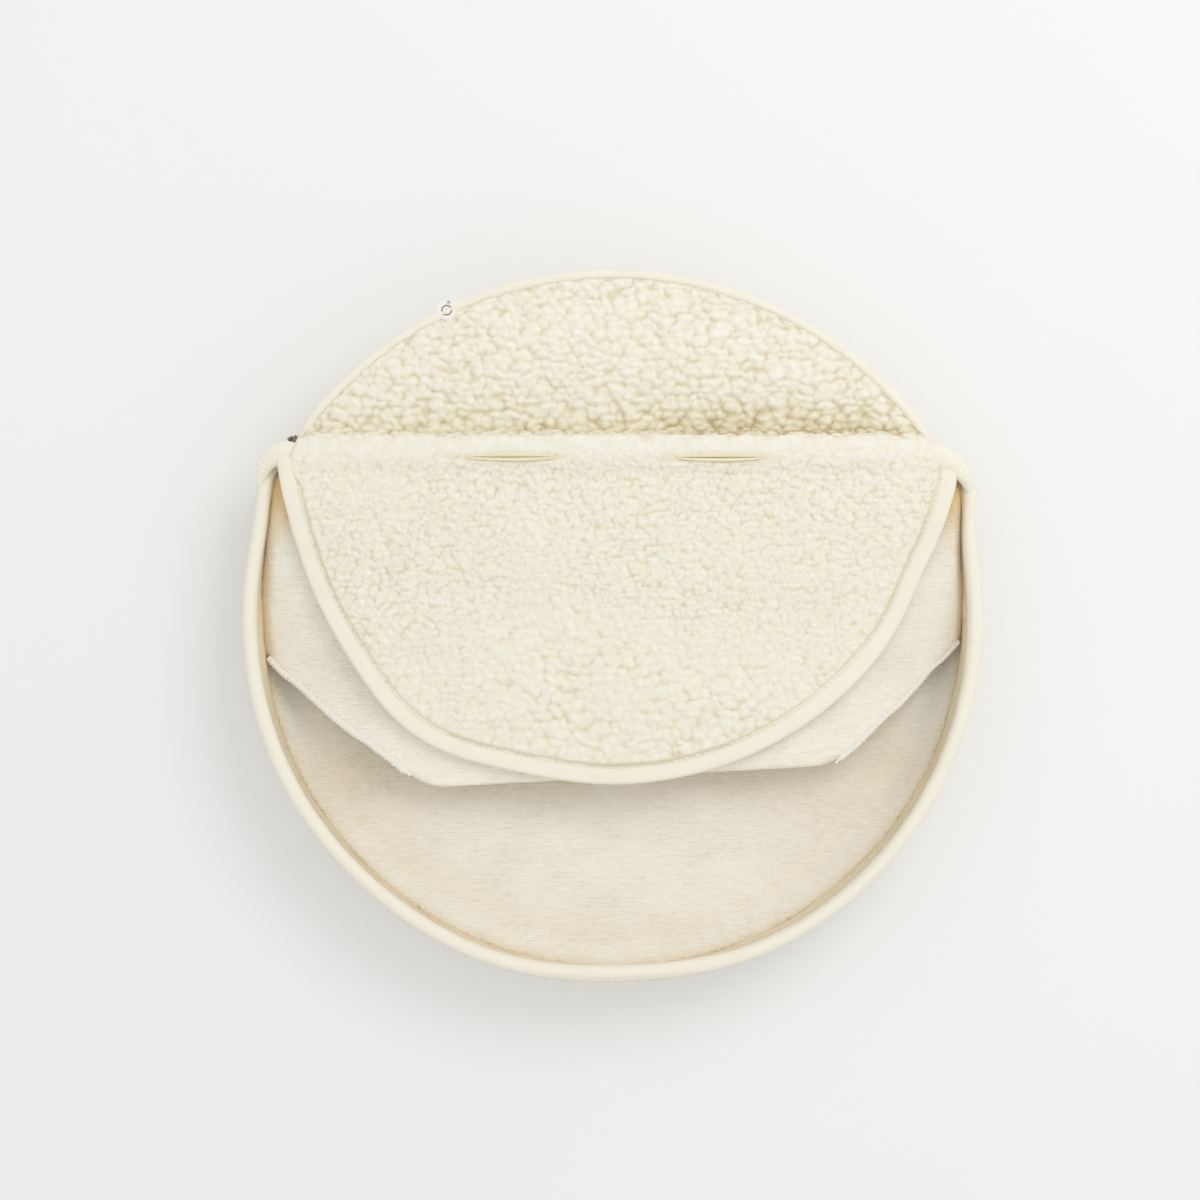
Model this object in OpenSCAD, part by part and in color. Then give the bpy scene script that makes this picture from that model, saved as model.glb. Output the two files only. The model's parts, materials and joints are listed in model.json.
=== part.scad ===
// Round pocket bed for a small pet.
// A shallow round tray with a padded wall and a cushioned floor. A fleece cover is zipped
// round the back half, rises to a raised crest and runs on as a bound front flap that lifts.
// A knit lining panel hangs under the flap. The mouth is in front, between flap and rim.
// Frame: +Z up, the mouth towards -Y, the zip towards +Y, origin on the floor under the middle.

/* [Bed] */
// Outside diameter at the widest part of the wall
bed_d = 500; // [460:5:560]
// How far the back of the round is pulled in from a full circle
back_pull = 14.4; // [12:0.2:18]
// Height of the widest part of the wall
bulge_z = 28; // [22:1:34]
// Height of the wall under its binding
wall_top = 67.5; // [62:0.5:74]
// How far the foot of the wall is drawn in
foot_inset = 10; // [6:0.5:14]
// How far the top of the wall is drawn in
top_inset = 6.5; // [4:0.5:9]

/* [Layers] */
// Thickness of the base panel
base_t = 1.2; // [0.8:0.1:2]
// Height of the floor cushion's top
pad_top = 20; // [12:1:30]
// Thickness of the knit floor lining
lining_t = 1.5; // [1:0.1:2.5]
// Thickness of the wall's outer cloth and of its lining
wall_cloth_t = 1.2; // [0.8:0.1:2]
// Thickness of the wadding inside the wall
wadding_t = 7.8; // [5:0.1:10]
// Thickness of the fleece with its pile
fleece_t = 6; // [4:0.5:8]
// Thickness of the folded knit lining panel
panel_t = 4; // [3:0.5:5]

/* [Crest and flap] */
// Distance of the crest behind the middle of the bed
crest_y = 127.5; // [122:0.5:134]
// Height of the crest at its middle
crest_z = 92; // [88:0.5:98]
// Height of the crest at its two ends
crest_end_z = 81.5; // [80:0.5:84]
// Distance of the flap's fold line behind the middle of the bed
fold_y = 104; // [100:0.5:106]
// Height of the fleece's top at the middle of the fold line
fold_z = 84; // [82:0.5:86]
// Height of the fleece's top at the ends of the fold line
fold_end_z = 80.5; // [79.5:0.5:82]
// Height of the line that the flap turns about
hinge_z = 88; // [87:0.5:90]
// Outer radius of the flap
flap_r = 228; // [222:1:230]
// Distance of the flap's centre behind the middle of the bed
flap_cy = 125; // [120:0.5:128]
// Height of the flap's top at its front edge
flap_front_z = 58; // [54:0.5:62]
// How far the flap's sides sag
flap_sag = 14; // [8:1:18]
// Width of the cotton binding
binding_w = 11; // [9:0.5:14]

/* [Slits] */
// Length of each slit
slit_l = 57; // [45:1:65]
// Width of each slit
slit_w = 5; // [4.6:0.1:6]
// Distance between the slits' centres
slit_pitch = 139.4; // [120:0.2:160]
// Distance of the slits behind the middle of the bed
slit_y = 115.2; // [112:0.2:118]
// Width of the facing cloth round a slit
facing_w = 1.2; // [0.8:0.1:1.5]

/* [Lining panel] */
// Radius of the panel's sides
panel_r = 229; // [224:0.5:230]
// Position of the panel's side tips
tip_y = -10; // [-25:1:0]
// Position of the panel's folded front edge
panel_front_y = -98; // [-104:1:-90]
// Half the length of the folded front edge
panel_front_x = 148; // [130:1:160]
// Space between the flap and the panel
panel_gap = 2; // [1.5:0.1:3]
// Radius of the overlocked edge
serge_r = 2; // [1.2:0.1:2.5]

/* [Zip] */
// Height of the zip's centre line
zip_z = 62; // [58:0.5:63]
// Width of each zip tape
tape_w = 5; // [4:0.5:6]
// Thickness of the zip tapes
tape_t = 0.8; // [0.5:0.1:1]
// Radius of each zip coil
coil_r = 0.9; // [0.7:0.1:1]
// Length of the slider along the zip
slider_l = 9; // [7:0.5:12]
// Length of the puller
puller_l = 16; // [12:1:22]

/* [Hidden] */
$fn = 96;
fleece_colour = "#F1EBDB";
knit_colour = "#EBE3D2";
cotton_colour = "#F0EADA";
wadding_colour = "#F7F7F4";
metal_colour = "#6E675C";

// The front of the outline is an arc about one centre, and the back a larger arc about another.
bed_r = bed_d / 2;
back_r = bed_r * 1.048;
front_cy = back_pull / 2;
back_cy = front_cy + bed_r - back_pull - back_r;
corner_y = (front_cy + back_cy) / 2
    + (bed_r * bed_r - back_r * back_r) / (2 * (back_cy - front_cy));
corner_x = sqrt(bed_r * bed_r - pow(corner_y - front_cy, 2));
front_a = atan2(corner_y - front_cy, corner_x);
back_a = atan2(corner_y - back_cy, corner_x);
wall_steps = 8;

wall_t = 2 * wall_cloth_t + wadding_t;
binding_t = 1.4;
rim_r = wall_t / 2 + binding_t;
rim_cz = wall_top - 1.5;
rim_skirt = 8;

binding_clear = 0.12;
stitch_r = 0.35;
stitch_gap = 0.05;

piping_r = 3;
piping_trim = 0.6;
cover_inset = top_inset + 2 * piping_r + 0.2;
fold_gap = 1.2;
cover_y = fold_y + fold_gap;
side_reach = 232;
roll_r = 4.6;
roll_gap = 2;
roll_reach = 196;
tuck_r = 3.8;
tuck_in_x = 221.5;
tuck_out_x = 226;
tuck_gap = 0.8;
cover_edge_z = wall_top + fleece_t + 0.3;
valley_z = 79;

flap_front_y = flap_cy - flap_r;
flap_sheet_r = flap_r - binding_w - 0.4;
sheet_cols = 18;
edge_rings = 44;

// The overlocked edge runs diagonally, so it stands further off along X than its own radius
panel_tip_x = sqrt(panel_r * panel_r - pow(tip_y - front_cy, 2));
panel_slant = (panel_tip_x - panel_front_x) / (tip_y - panel_front_y);
serge_reach = (serge_r + 0.3) * sqrt(1 + panel_slant * panel_slant);

tape_gap = 0.05;
zip_a = back_a + 1.5;
stop_a = 0.5;
slider_sweep = slider_l / back_r * 180 / PI;
slider_a = 180 - zip_a - slider_sweep;
plate_t = 1.2;
slider_clear = 0.3;
slider_w = 4 * coil_r + 2 * slider_clear + 2 * plate_t;
bail_r = 0.6;
bail_l = 5;
bail_stand = 1.5;
eye_clear = 0.08;
puller_t = 1.4;
puller_w = 4.6;

label_d = 14.5;
label_t = 1;
label_tilt = 12;
label_a = 115.5;
label_line = back_r - 2.8;
label_z = wall_top + 2 * piping_r - 1;

// ---- The wall's shape ----

// Distance of the wall's outer face from the outline at height z, inwards negative
function wall_out(z) = z < bulge_z
    ? -foot_inset * pow((bulge_z - z) / bulge_z, 2)
    : -top_inset * pow((z - bulge_z) / (wall_top - bulge_z), 2);

// Points up a face that follows the wall, at a given depth behind the wall's own face
function wall_face(r, depth, z0, z1) =
    [for (i = [0 : wall_steps]) let (z = z0 + (z1 - z0) * i / wall_steps)
        [r + wall_out(z) - depth, z]];

function reversed(list) = [for (i = [len(list) - 1 : -1 : 0]) list[i]];

module front_arc() {
    translate([0, front_cy, 0])
        rotate([0, 0, 180 - front_a])
            rotate_extrude(angle = 180 + 2 * front_a)
                children();
}

module back_arc(trim = 0) {
    translate([0, back_cy, 0])
        rotate([0, 0, back_a + trim])
            rotate_extrude(angle = 180 - 2 * (back_a + trim))
                children();
}

// Section of a layer that follows the wall, from depth to depth_in behind the wall's face
module wall_section(r, depth, depth_in, z0, z1) {
    polygon(concat(wall_face(r, depth, z0, z1), reversed(wall_face(r, depth_in, z0, z1))));
}

// Section from the axis out to a face that follows the wall; over makes it taller for a clean cut
module disc_section(r, depth, z0, z1, over) {
    edge = wall_face(r, depth, z0, z1);
    foot = [[0, z0 - over], [edge[0][0], z0 - over]];
    head = [[edge[wall_steps][0], z1 + over], [0, z1 + over]];
    polygon(over > 0 ? concat(foot, edge, head) : concat([[0, z0]], edge, [[0, z1]]));
}

// A solid that fills the outline to a given depth behind the wall's face
module disc(depth, z0, z1, over = 0) {
    intersection() {
        translate([0, front_cy, 0]) rotate_extrude() disc_section(bed_r, depth, z0, z1, over);
        translate([0, back_cy, 0]) rotate_extrude() disc_section(back_r, depth, z0, z1, over);
    }
}

module wall_ring(depth, depth_in, z0, z1) {
    difference() {
        disc(depth, z0, z1);
        disc(depth_in, z0, z1, 1);
    }
}

// ---- The cloth's shape ----

// 1 along the middle of the bed, falling to 0 over the rim
function side_fade(x) = 1 - pow(min(1, abs(x) / side_reach), 4);

function fold_top(x) = fold_end_z + (fold_z - fold_end_z) * side_fade(x);

function crest_top(x) = crest_end_z + (crest_z - crest_end_z) * side_fade(x);

// 0 on the outline's back arc and 1 well inside it
function back_depth(x, y) =
    min(1, (back_r - cover_inset - norm([x, y - back_cy])) / 60);

function back_top(x, y) =
    let (depth = max(0, back_depth(x, y)))
    cover_edge_z + (valley_z - cover_edge_z) * sin(90 * depth);

// Top of the cover: a slope from fold to crest, then a rounded drop to the back
function cover_top(x, y) = y < crest_y
    ? fold_top(x) + (crest_top(x) - fold_top(x)) * sin(90 * (y - fold_y) / (crest_y - fold_y))
    : back_top(x, y) + (crest_top(x) - back_top(x, y)) * exp(-pow((y - crest_y) / 9, 2));

// Top of the flap: it falls from the fold to the front edge, and its sides sag in between
function flap_top(x, y) =
    let (s = max(0, min(1, (fold_y - y) / (fold_y - flap_front_y))))
    flap_front_z + (fold_top(x) - flap_front_z) * (1 - pow(s, 1.6))
        - flap_sag * pow(x / flap_r, 2) * pow(sin(180 * s), 2);

function panel_top(x, y) = flap_top(x, y) - fleece_t - panel_gap;

// Half width of the lining panel: round beside the rim, then cut off diagonally to the front
function panel_half(y) = y > tip_y
    ? sqrt(panel_r * panel_r - pow(y - front_cy, 2))
    : panel_front_x + panel_slant * (y - panel_front_y);

// ---- Builders ----

// A closed sheet under a grid of top points; the rows run towards +Y and each row towards +X
module sheet(grid, thick) {
    rows = len(grid) - 1;
    cols = len(grid[0]) - 1;
    top = [for (row = grid) each row];
    count = len(top);
    bottom = [for (p = top) p - [0, 0, thick]];
    polyhedron(
        points = concat(top, bottom),
        faces = concat(
            [for (i = [0 : rows - 1], j = [0 : cols - 1])
                each let (a = i * (cols + 1) + j, b = a + cols + 1)
                [[a, b, b + 1], [a, b + 1, a + 1],
                [count + a, count + b + 1, count + b], [count + a, count + a + 1, count + b + 1]]],
            [for (j = [0 : cols - 1]) each let (b = rows * (cols + 1) + j)
                [[j, j + 1, count + j + 1, count + j], [b + 1, b, count + b, count + b + 1]]],
            [for (i = [0 : rows - 1]) each let (a = i * (cols + 1), b = a + cols + 1)
                [[b, a, count + a, count + b], [a + cols, b + cols, count + b + cols, count + a + cols]]]
        )
    );
}

function unit(v) = v / norm(v);

// A tube of oval section along a path that never runs straight up
module tube(path, half_w, half_h, sides) {
    last = len(path) - 1;
    points = [for (i = [0 : last])
        let (along = unit(path[min(last, i + 1)] - path[max(0, i - 1)]))
        let (across = unit(cross(along, [0, 0, 1])))
        let (over = cross(across, along))
        for (k = [0 : sides - 1])
            path[i] + half_w * cos(360 * k / sides) * across + half_h * sin(360 * k / sides) * over];
    polyhedron(
        points = points,
        faces = concat(
            [[for (k = [0 : sides - 1]) k]],
            [[for (k = [sides - 1 : -1 : 0]) last * sides + k]],
            [for (i = [0 : last - 1], k = [0 : sides - 1])
                each let (a = i * sides + k, b = i * sides + (k + 1) % sides)
                [[a, a + sides, b + sides], [a, b + sides, b]]]
        )
    );
}

// Points round the flap from the left end of the fold line to the right end
function flap_arc(r, drop) =
    let (start = 180 + asin((flap_cy - fold_y) / r))
    let (sweep = 180 - 2 * asin((flap_cy - fold_y) / r))
    [for (i = [0 : edge_rings]) let (a = start + sweep * i / edge_rings)
        let (x = r * cos(a), y = flap_cy + r * sin(a))
        [x, y, flap_top(x, y) - drop]];

module lens(length, width) {
    r = (length * length + width * width) / (4 * width);
    intersection() {
        translate([0, r - width / 2]) circle(r, $fn = 256);
        translate([0, width / 2 - r]) circle(r, $fn = 256);
    }
}

// ---- Floor ----

module base_panel() {
    color(cotton_colour) disc(0, 0, base_t);
}

module base_pad() {
    color(wadding_colour) disc(wall_t + 0.3, base_t, pad_top);
}

module floor_lining() {
    color(knit_colour) disc(wall_t + 0.3, pad_top, pad_top + lining_t);
}

// ---- Wall ----

module side_wall() {
    color(cotton_colour) wall_ring(0, wall_cloth_t, base_t, wall_top);
}

module wall_padding() {
    color(wadding_colour) wall_ring(wall_cloth_t, wall_t - wall_cloth_t, base_t, wall_top);
}

module wall_lining() {
    color(knit_colour) wall_ring(wall_t - wall_cloth_t, wall_t, base_t, wall_top);
}

// The binding is folded over the wall's top edge: a round crown with a skirt on each side
module rim_binding() {
    skirt_z = rim_cz - rim_skirt;
    crown_x = bed_r + wall_out(rim_cz) - wall_t / 2;
    color(cotton_colour) front_arc() difference() {
        union() {
            wall_section(bed_r, -binding_t, wall_t + binding_t, skirt_z, rim_cz);
            translate([crown_x, rim_cz]) circle(rim_r);
        }
        wall_section(bed_r, -binding_clear, wall_t + binding_clear, skirt_z - 1, wall_top);
    }
}

module rim_stitching() {
    z = rim_cz - rim_skirt + 1.5;
    color("ivory") front_arc()
        translate([bed_r + wall_out(z) + binding_t + stitch_r + stitch_gap, z])
            circle(r = stitch_r, $fn = 24);
}

module back_piping() {
    color(cotton_colour) back_arc(piping_trim)
        translate([back_r - top_inset - piping_r, wall_top + piping_r]) circle(piping_r);
}

// ---- Cover ----

module back_cover() {
    r = back_r - cover_inset;
    row_a0 = asin((cover_y - back_cy) / r);
    crest_rows = 7;
    back_rows = 11;
    row_a1 = asin((crest_y - back_cy) / r);
    row_a2 = 85;
    angles = concat(
        [for (i = [0 : crest_rows - 1]) row_a0 + (row_a1 - row_a0) * i / crest_rows],
        [for (i = [0 : back_rows]) row_a1 + (row_a2 - row_a1) * pow(i / back_rows, 1.3)]
    );
    grid = [for (a = angles) [for (j = [0 : sheet_cols])
        let (x = r * cos(a) * (2 * j / sheet_cols - 1), y = back_cy + r * sin(a))
        [x, y, cover_top(x, y)]]];
    color(fleece_colour) difference() {
        sheet(grid, fleece_t);
        for (side = [-1, 1])
            translate([side * slit_pitch / 2, slit_y, fold_z - 20])
                linear_extrude(40) lens(slit_l + 2 * facing_w, slit_w + 2 * facing_w);
    }
}

module crest_wadding() {
    rings = 20;
    color(wadding_colour) tube(
        [for (i = [0 : rings]) let (x = roll_reach * (2 * i / rings - 1))
            [x, crest_y, crest_top(x) - fleece_t - roll_gap - roll_r]],
        roll_r, roll_r, 10);
}

module slit_facing(side) {
    x = side * slit_pitch / 2;
    top = cover_top(x, slit_y) + 0.6;
    color(cotton_colour) translate([x, slit_y, top - fleece_t - 1.2])
        linear_extrude(fleece_t + 1.2) difference() {
            lens(slit_l + 2 * facing_w, slit_w + 2 * facing_w);
            lens(slit_l, slit_w);
        }
}

// The binding's gathered turn where the rim meets the flap
module corner_tuck(side) {
    z = rim_cz + rim_r + tuck_r + tuck_gap;
    y = cover_y + tuck_r;
    color(cotton_colour) hull()
        for (x = [tuck_in_x, tuck_out_x])
            translate([side * x, y, z]) sphere(tuck_r, $fn = 16);
}

// ---- Flap ----

module flap_cover() {
    r = flap_sheet_r;
    a0 = asin((flap_cy - fold_y) / r);
    a1 = 84;
    rows = 12;
    grid = [for (i = [rows : -1 : 0]) [for (j = [0 : sheet_cols])
        let (a = a0 + (a1 - a0) * i / rows)
        let (x = r * cos(a) * (2 * j / sheet_cols - 1), y = flap_cy - r * sin(a))
        [x, y, flap_top(x, y)]]];
    color(fleece_colour) sheet(grid, fleece_t);
}

module flap_binding() {
    color(cotton_colour)
        tube(flap_arc(flap_r - binding_w / 2, fleece_t / 2), binding_w / 2, fleece_t / 2, 12);
}

module flap_stitching() {
    color("ivory") tube(flap_arc(flap_r - binding_w + 1.4, -0.1), 0.35, 0.35, 6);
}

// ---- Lining panel ----

module lining_panel() {
    rows = 14;
    y0 = panel_front_y;
    y1 = fold_y - 2;
    grid = [for (i = [0 : rows]) [for (j = [0 : sheet_cols])
        let (y = y0 + (y1 - y0) * i / rows)
        let (x = panel_half(y) * (2 * j / sheet_cols - 1))
        [x, y, panel_top(x, y)]]];
    color(knit_colour) sheet(grid, panel_t);
}

module panel_edge(side) {
    rings = 12;
    color("ivory") tube(
        [for (i = [0 : rings])
            let (y = tip_y - 3 + (panel_front_y - tip_y + 6) * i / rings)
            let (x = side * (panel_half(y) + serge_reach))
            [x, y, panel_top(x, y) - panel_t / 2]],
        serge_r, serge_r, 8);
}

// ---- Zip ----

module zip_band(z0, z1) {
    back_arc(zip_a - back_a) wall_section(back_r, -tape_gap - tape_t, -tape_gap, z0, z1);
}

module zip_tape_lower() {
    color(cotton_colour) zip_band(zip_z - tape_w, zip_z - 0.1);
}

module zip_tape_upper() {
    color(cotton_colour) zip_band(zip_z + 0.1, zip_z + tape_w);
}

// Radius of the tapes' outer face at height z
function tape_face(z) = back_r + wall_out(z) + tape_gap + tape_t;

// Radius of the coils' centre line: they lie on the tapes
function coil_line() = tape_face(zip_z - coil_r) + coil_r + 0.05;

module zip_coil(side) {
    color("ivory") back_arc(zip_a - back_a + 1)
        translate([coil_line(), zip_z + side * coil_r]) circle(r = coil_r - 0.02, $fn = 24);
}

module zip_stops() {
    inner = tape_face(zip_z - 2 * coil_r) + 0.1;
    color(metal_colour) for (a = [zip_a, 180 - zip_a - stop_a])
        translate([0, back_cy, 0]) rotate([0, 0, a]) rotate_extrude(angle = stop_a)
            translate([inner, zip_z - 2 * coil_r])
                square([coil_line() + coil_r - inner, 4 * coil_r]);
}

// Radius of the slider plate's outer face
function plate_out() = coil_line() + coil_r + slider_clear + plate_t;

// A plate over the coils with a flange above and below them, and a bail for the puller
module zip_slider() {
    foot_z = zip_z - slider_w / 2;
    inner = tape_face(foot_z) + slider_clear;
    color(metal_colour) {
        translate([0, back_cy, 0]) rotate([0, 0, slider_a - slider_sweep])
            rotate_extrude(angle = slider_sweep) difference() {
                translate([inner, foot_z]) square([plate_out() - inner, slider_w]);
                translate([inner - 1, foot_z + plate_t])
                    square([plate_out() - plate_t - inner + 1, slider_w - 2 * plate_t]);
            }
        at_slider() {
            translate([bail_stand, 0, 0]) rotate([90, 0, 0])
                cylinder(r = bail_r, h = bail_l, center = true);
            for (side = [-1, 1])
                translate([-0.3, side * (bail_l / 2 - 0.5), 0]) rotate([0, 90, 0])
                    cylinder(r = bail_r, h = bail_stand + 0.3);
        }
    }
}

// Local frame at the middle of the slider's face: X outwards, Y along the zip
module at_slider() {
    translate([0, back_cy, 0]) rotate([0, 0, slider_a - slider_sweep / 2])
        translate([plate_out(), 0, zip_z]) children();
}

// An eye on the bail and a rounded tab that hangs from it
module zip_puller() {
    eye_r = bail_r + eye_clear + 0.8;
    eye_w = bail_l - 4 * bail_r - 0.4;
    color(metal_colour) at_slider() translate([bail_stand, 0, 0]) difference() {
        union() {
            rotate([90, 0, 0]) cylinder(r = eye_r, h = eye_w, center = true);
            translate([-puller_t / 2, -eye_w / 2, -eye_r - 2]) cube([puller_t, eye_w, eye_r + 2]);
            translate([-puller_t / 2, 0, -eye_r - 1 - puller_w / 2]) rotate([0, 90, 0])
                cylinder(r = puller_w / 2, h = puller_t);
            translate([-puller_t / 2, -puller_w / 2, -puller_l + puller_w / 2])
                cube([puller_t, puller_w, puller_l - eye_r - 1 - puller_w]);
            translate([-puller_t / 2, 0, -puller_l + puller_w / 2]) rotate([0, 90, 0])
                cylinder(r = puller_w / 2, h = puller_t);
        }
        rotate([90, 0, 0]) cylinder(r = bail_r + eye_clear, h = eye_w + 2, center = true);
    }
}

// ---- Label ----

// A round tab caught in the back seam, lying over the piping and tilted down outwards
module woven_label() {
    color("white") translate([0, back_cy, 0]) rotate([0, 0, label_a])
        translate([label_line, 0, label_z]) rotate([0, label_tilt, 0])
            cylinder(d = label_d, h = label_t);
}

base_panel();
base_pad();
floor_lining();
side_wall();
wall_padding();
wall_lining();
rim_binding();
rim_stitching();
back_piping();
back_cover();
crest_wadding();
slit_facing(-1);  // slit_facing_left
slit_facing(1);  // slit_facing_right
corner_tuck(-1);  // corner_tuck_left
corner_tuck(1);  // corner_tuck_right
flap_cover();
flap_binding();
flap_stitching();
lining_panel();
panel_edge(-1);  // panel_edge_left
panel_edge(1);  // panel_edge_right
zip_tape_lower();
zip_tape_upper();
zip_coil(-1);  // zip_coil_lower
zip_coil(1);  // zip_coil_upper
zip_stops();
zip_slider();
zip_puller();
woven_label();
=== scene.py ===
"""Looks of the round pocket bed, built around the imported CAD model.

Lengths are in millimetres in the row frame until a mesh is made, and in metres after that.
Angles round the bed are in degrees about the middle of its front arc: 0 right, 90 back, 270 front.
"""
import json
import math

import bmesh
import bpy
import numpy as np
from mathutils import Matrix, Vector
from mathutils.bvhtree import BVHTree


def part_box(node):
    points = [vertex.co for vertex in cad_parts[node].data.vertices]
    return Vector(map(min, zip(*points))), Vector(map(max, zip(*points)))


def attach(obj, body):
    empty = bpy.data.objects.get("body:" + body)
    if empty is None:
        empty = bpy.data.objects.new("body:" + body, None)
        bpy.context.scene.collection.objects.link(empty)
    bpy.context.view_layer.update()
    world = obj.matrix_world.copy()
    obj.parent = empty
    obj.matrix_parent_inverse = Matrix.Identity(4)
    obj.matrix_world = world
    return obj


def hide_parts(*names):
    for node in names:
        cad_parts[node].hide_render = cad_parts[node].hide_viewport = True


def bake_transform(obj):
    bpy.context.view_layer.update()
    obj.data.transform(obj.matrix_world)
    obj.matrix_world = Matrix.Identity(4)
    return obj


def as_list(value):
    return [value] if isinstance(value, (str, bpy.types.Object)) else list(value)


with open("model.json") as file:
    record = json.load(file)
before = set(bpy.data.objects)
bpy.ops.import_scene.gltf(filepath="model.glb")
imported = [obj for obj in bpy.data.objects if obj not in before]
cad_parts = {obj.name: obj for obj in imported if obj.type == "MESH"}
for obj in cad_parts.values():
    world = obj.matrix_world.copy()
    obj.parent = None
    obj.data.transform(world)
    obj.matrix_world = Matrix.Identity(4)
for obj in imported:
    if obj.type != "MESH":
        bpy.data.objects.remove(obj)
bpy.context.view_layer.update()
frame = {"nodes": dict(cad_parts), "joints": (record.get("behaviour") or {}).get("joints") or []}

MM = 0.001


def cad_box(node):
    """Lowest and highest corner of a CAD node, in millimetres."""
    lo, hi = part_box(node)
    return np.array(lo) / MM, np.array(hi) / MM


def joint(name):
    return next(j for j in frame["joints"] if j["name"] == name)


# ---- Driving dimensions ----

WALL_LO, WALL_HI = cad_box("side_wall")
BED_R = round((WALL_HI[0] - WALL_LO[0]) / 2)
FRONT_CY = round(WALL_LO[1] + BED_R, 1)
BACK_R = BED_R * 1.048
BACK_CY = round(WALL_HI[1] - BACK_R, 1)
WALL_TOP = WALL_HI[2]
BULGE_Z = 28
FOOT_INSET = 10
TOP_INSET = 6.5
WALL_CLOTH = 1.2
RIM_Z = WALL_TOP - 1.5
RIM_SKIRT = 8
WALL_T = 10.2
WADDING_GAP = 0.8
BINDING_OUT, BINDING_IN = 0.9, 0.8
RIGHT_CORNER, LEFT_CORNER = 24, 153
PAD_TOP = cad_box("base_pad")[1][2]
FLOOR_TOP = cad_box("floor_lining")[1][2]

FOLD_Y = joint("flap_fold")["pos_m"][1] / MM
FOLD_Z, FOLD_END_Z = 84, 80.5
CREST_Y = 127.5
CREST_Z, CREST_END_Z = cad_box("back_cover")[1][2], 81.5
COVER_EDGE_Z, VALLEY_Z = 73.8, 79
COVER_INSET = 8.6
SIDE_REACH = 232
FLAP_R = 228
FLAP_CY = 125
FLAP_FRONT_Z = 58
FLAP_SAG = 14
BINDING_W = 13.4
FLEECE_T = 6
PANEL_T = 4
PANEL_GAP = 2

# A place a little behind the flap's fold, where the fleece turns over as the flap opens; the lining panel
# ends 2 mm in front of it
BLEND_FROM = FOLD_Y + 9.5

SLITS = ((-67.5, 115.2), (71.5, 114.9))
SLIT_L, SLIT_W = 57, 2.2


def smooth(t):
    """0 below 0, 1 above 1, and an S-curve in between."""
    t = np.clip(t, 0, 1)
    return t * t * (3 - 2 * t)


def span(x, lo, hi, rise, fall=None):
    """1 between two places, with an S-curve inside each end."""
    return smooth((x - lo) / rise) * smooth((hi - x) / (fall or rise))


def hump(x, middle, below, above=None):
    """A bell of height 1, with its own width on each side."""
    x = np.asarray(x, float)
    width = np.where(x < middle, below, below if above is None else above)
    return np.exp(-(((x - middle) / width) ** 2))


# ---- Repeatable noise ----

def hashed(ix, iy, seed):
    """A value from 0 to 1 that depends only on two whole numbers and the seed."""
    n = ix.astype(np.int64) * 374761393 + iy.astype(np.int64) * 668265263 + seed * 144665
    n = ((n ^ (n >> 13)) * 1274126177) & 0xFFFFFFFF
    return ((n ^ (n >> 16)) & 0xFFFF) / 65535


def noise(x, y, size, seed):
    """Soft noise from -1 to 1 with humps about size wide."""
    x, y = np.asarray(x, float) / size, np.asarray(y, float) / size
    ix, iy = np.floor(x), np.floor(y)
    fx, fy = smooth(x - ix), smooth(y - iy)
    low = hashed(ix, iy, seed) * (1 - fx) + hashed(ix + 1, iy, seed) * fx
    high = hashed(ix, iy + 1, seed) * (1 - fx) + hashed(ix + 1, iy + 1, seed) * fx
    return 2 * (low * (1 - fy) + high * fy) - 1


def wander(s, size, seed):
    """Soft noise along a line."""
    return noise(s, 0 * s, size, seed)


# ---- The bed's outline and wall ----

def outline(angle):
    """Distance from the middle of the front arc to the widest part of the wall."""
    a = np.radians(angle)
    ux, uy = np.cos(a), np.sin(a)
    off = BACK_CY - FRONT_CY
    back = uy * off + np.sqrt(BACK_R**2 - off**2 + (uy * off) ** 2)
    base = np.minimum(BED_R, back)
    y = FRONT_CY + base * uy
    right = 11.5 * hump(y, 102, 30, 7) * (ux > 0)
    left = 6.5 * hump(y, 108, 28, 7) * (ux < 0)
    return base + right + left


def top_inset(angle):
    """How far the wall's top leans in: little at the sides, more at the front and round the zip."""
    a = np.mod(angle, 360)
    front = 1.5 + 7 * hump(a, 272, 17) + 2.5 * hump(a, 232, 22)
    return front + (TOP_INSET - front) * span(a, 22, 158, 6)


def wall_out(z, inset=TOP_INSET):
    """Distance of the wall's outer face from the outline at height z, inwards negative."""
    z = np.asarray(z, float)
    foot = -FOOT_INSET * (np.maximum(BULGE_Z - z, 0) / BULGE_Z) ** 2
    return foot - inset * (np.maximum(z - BULGE_Z, 0) / (WALL_TOP - BULGE_Z)) ** 2


def wall_in(z, inset):
    """Distance of the wall's inner face from the outline: the wall thins towards its top."""
    return wall_out(z, inset) - WALL_T + 2.4 * smooth((np.asarray(z, float) - 38) / 26)


def arc_points(angle, radius, z, middle_y):
    """Points at a radius about a place on the bed's middle line."""
    a, radius, z = np.broadcast_arrays(np.radians(angle), radius, z)
    return np.stack([radius * np.cos(a), middle_y + radius * np.sin(a), z], -1)


def ring_points(angle, offset, z):
    """Points at an offset from the outline."""
    return arc_points(angle, outline(angle) + offset, z, FRONT_CY)


def ring_gap(x, y, offset):
    """Signed distance from the outline moved by offset, inside negative."""
    angle = np.degrees(np.arctan2(y - FRONT_CY, x))
    return np.hypot(x, y - FRONT_CY) - outline(angle) - offset


# ---- The fleece's and the panel's heights ----

def side_fade(x):
    return 1 - np.minimum(1, np.abs(x) / SIDE_REACH) ** 4


def fold_top(x):
    return FOLD_END_Z + (FOLD_Z - FOLD_END_Z) * side_fade(x)


def crest_top(x):
    return CREST_END_Z + (CREST_Z - CREST_END_Z) * side_fade(x)


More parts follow.
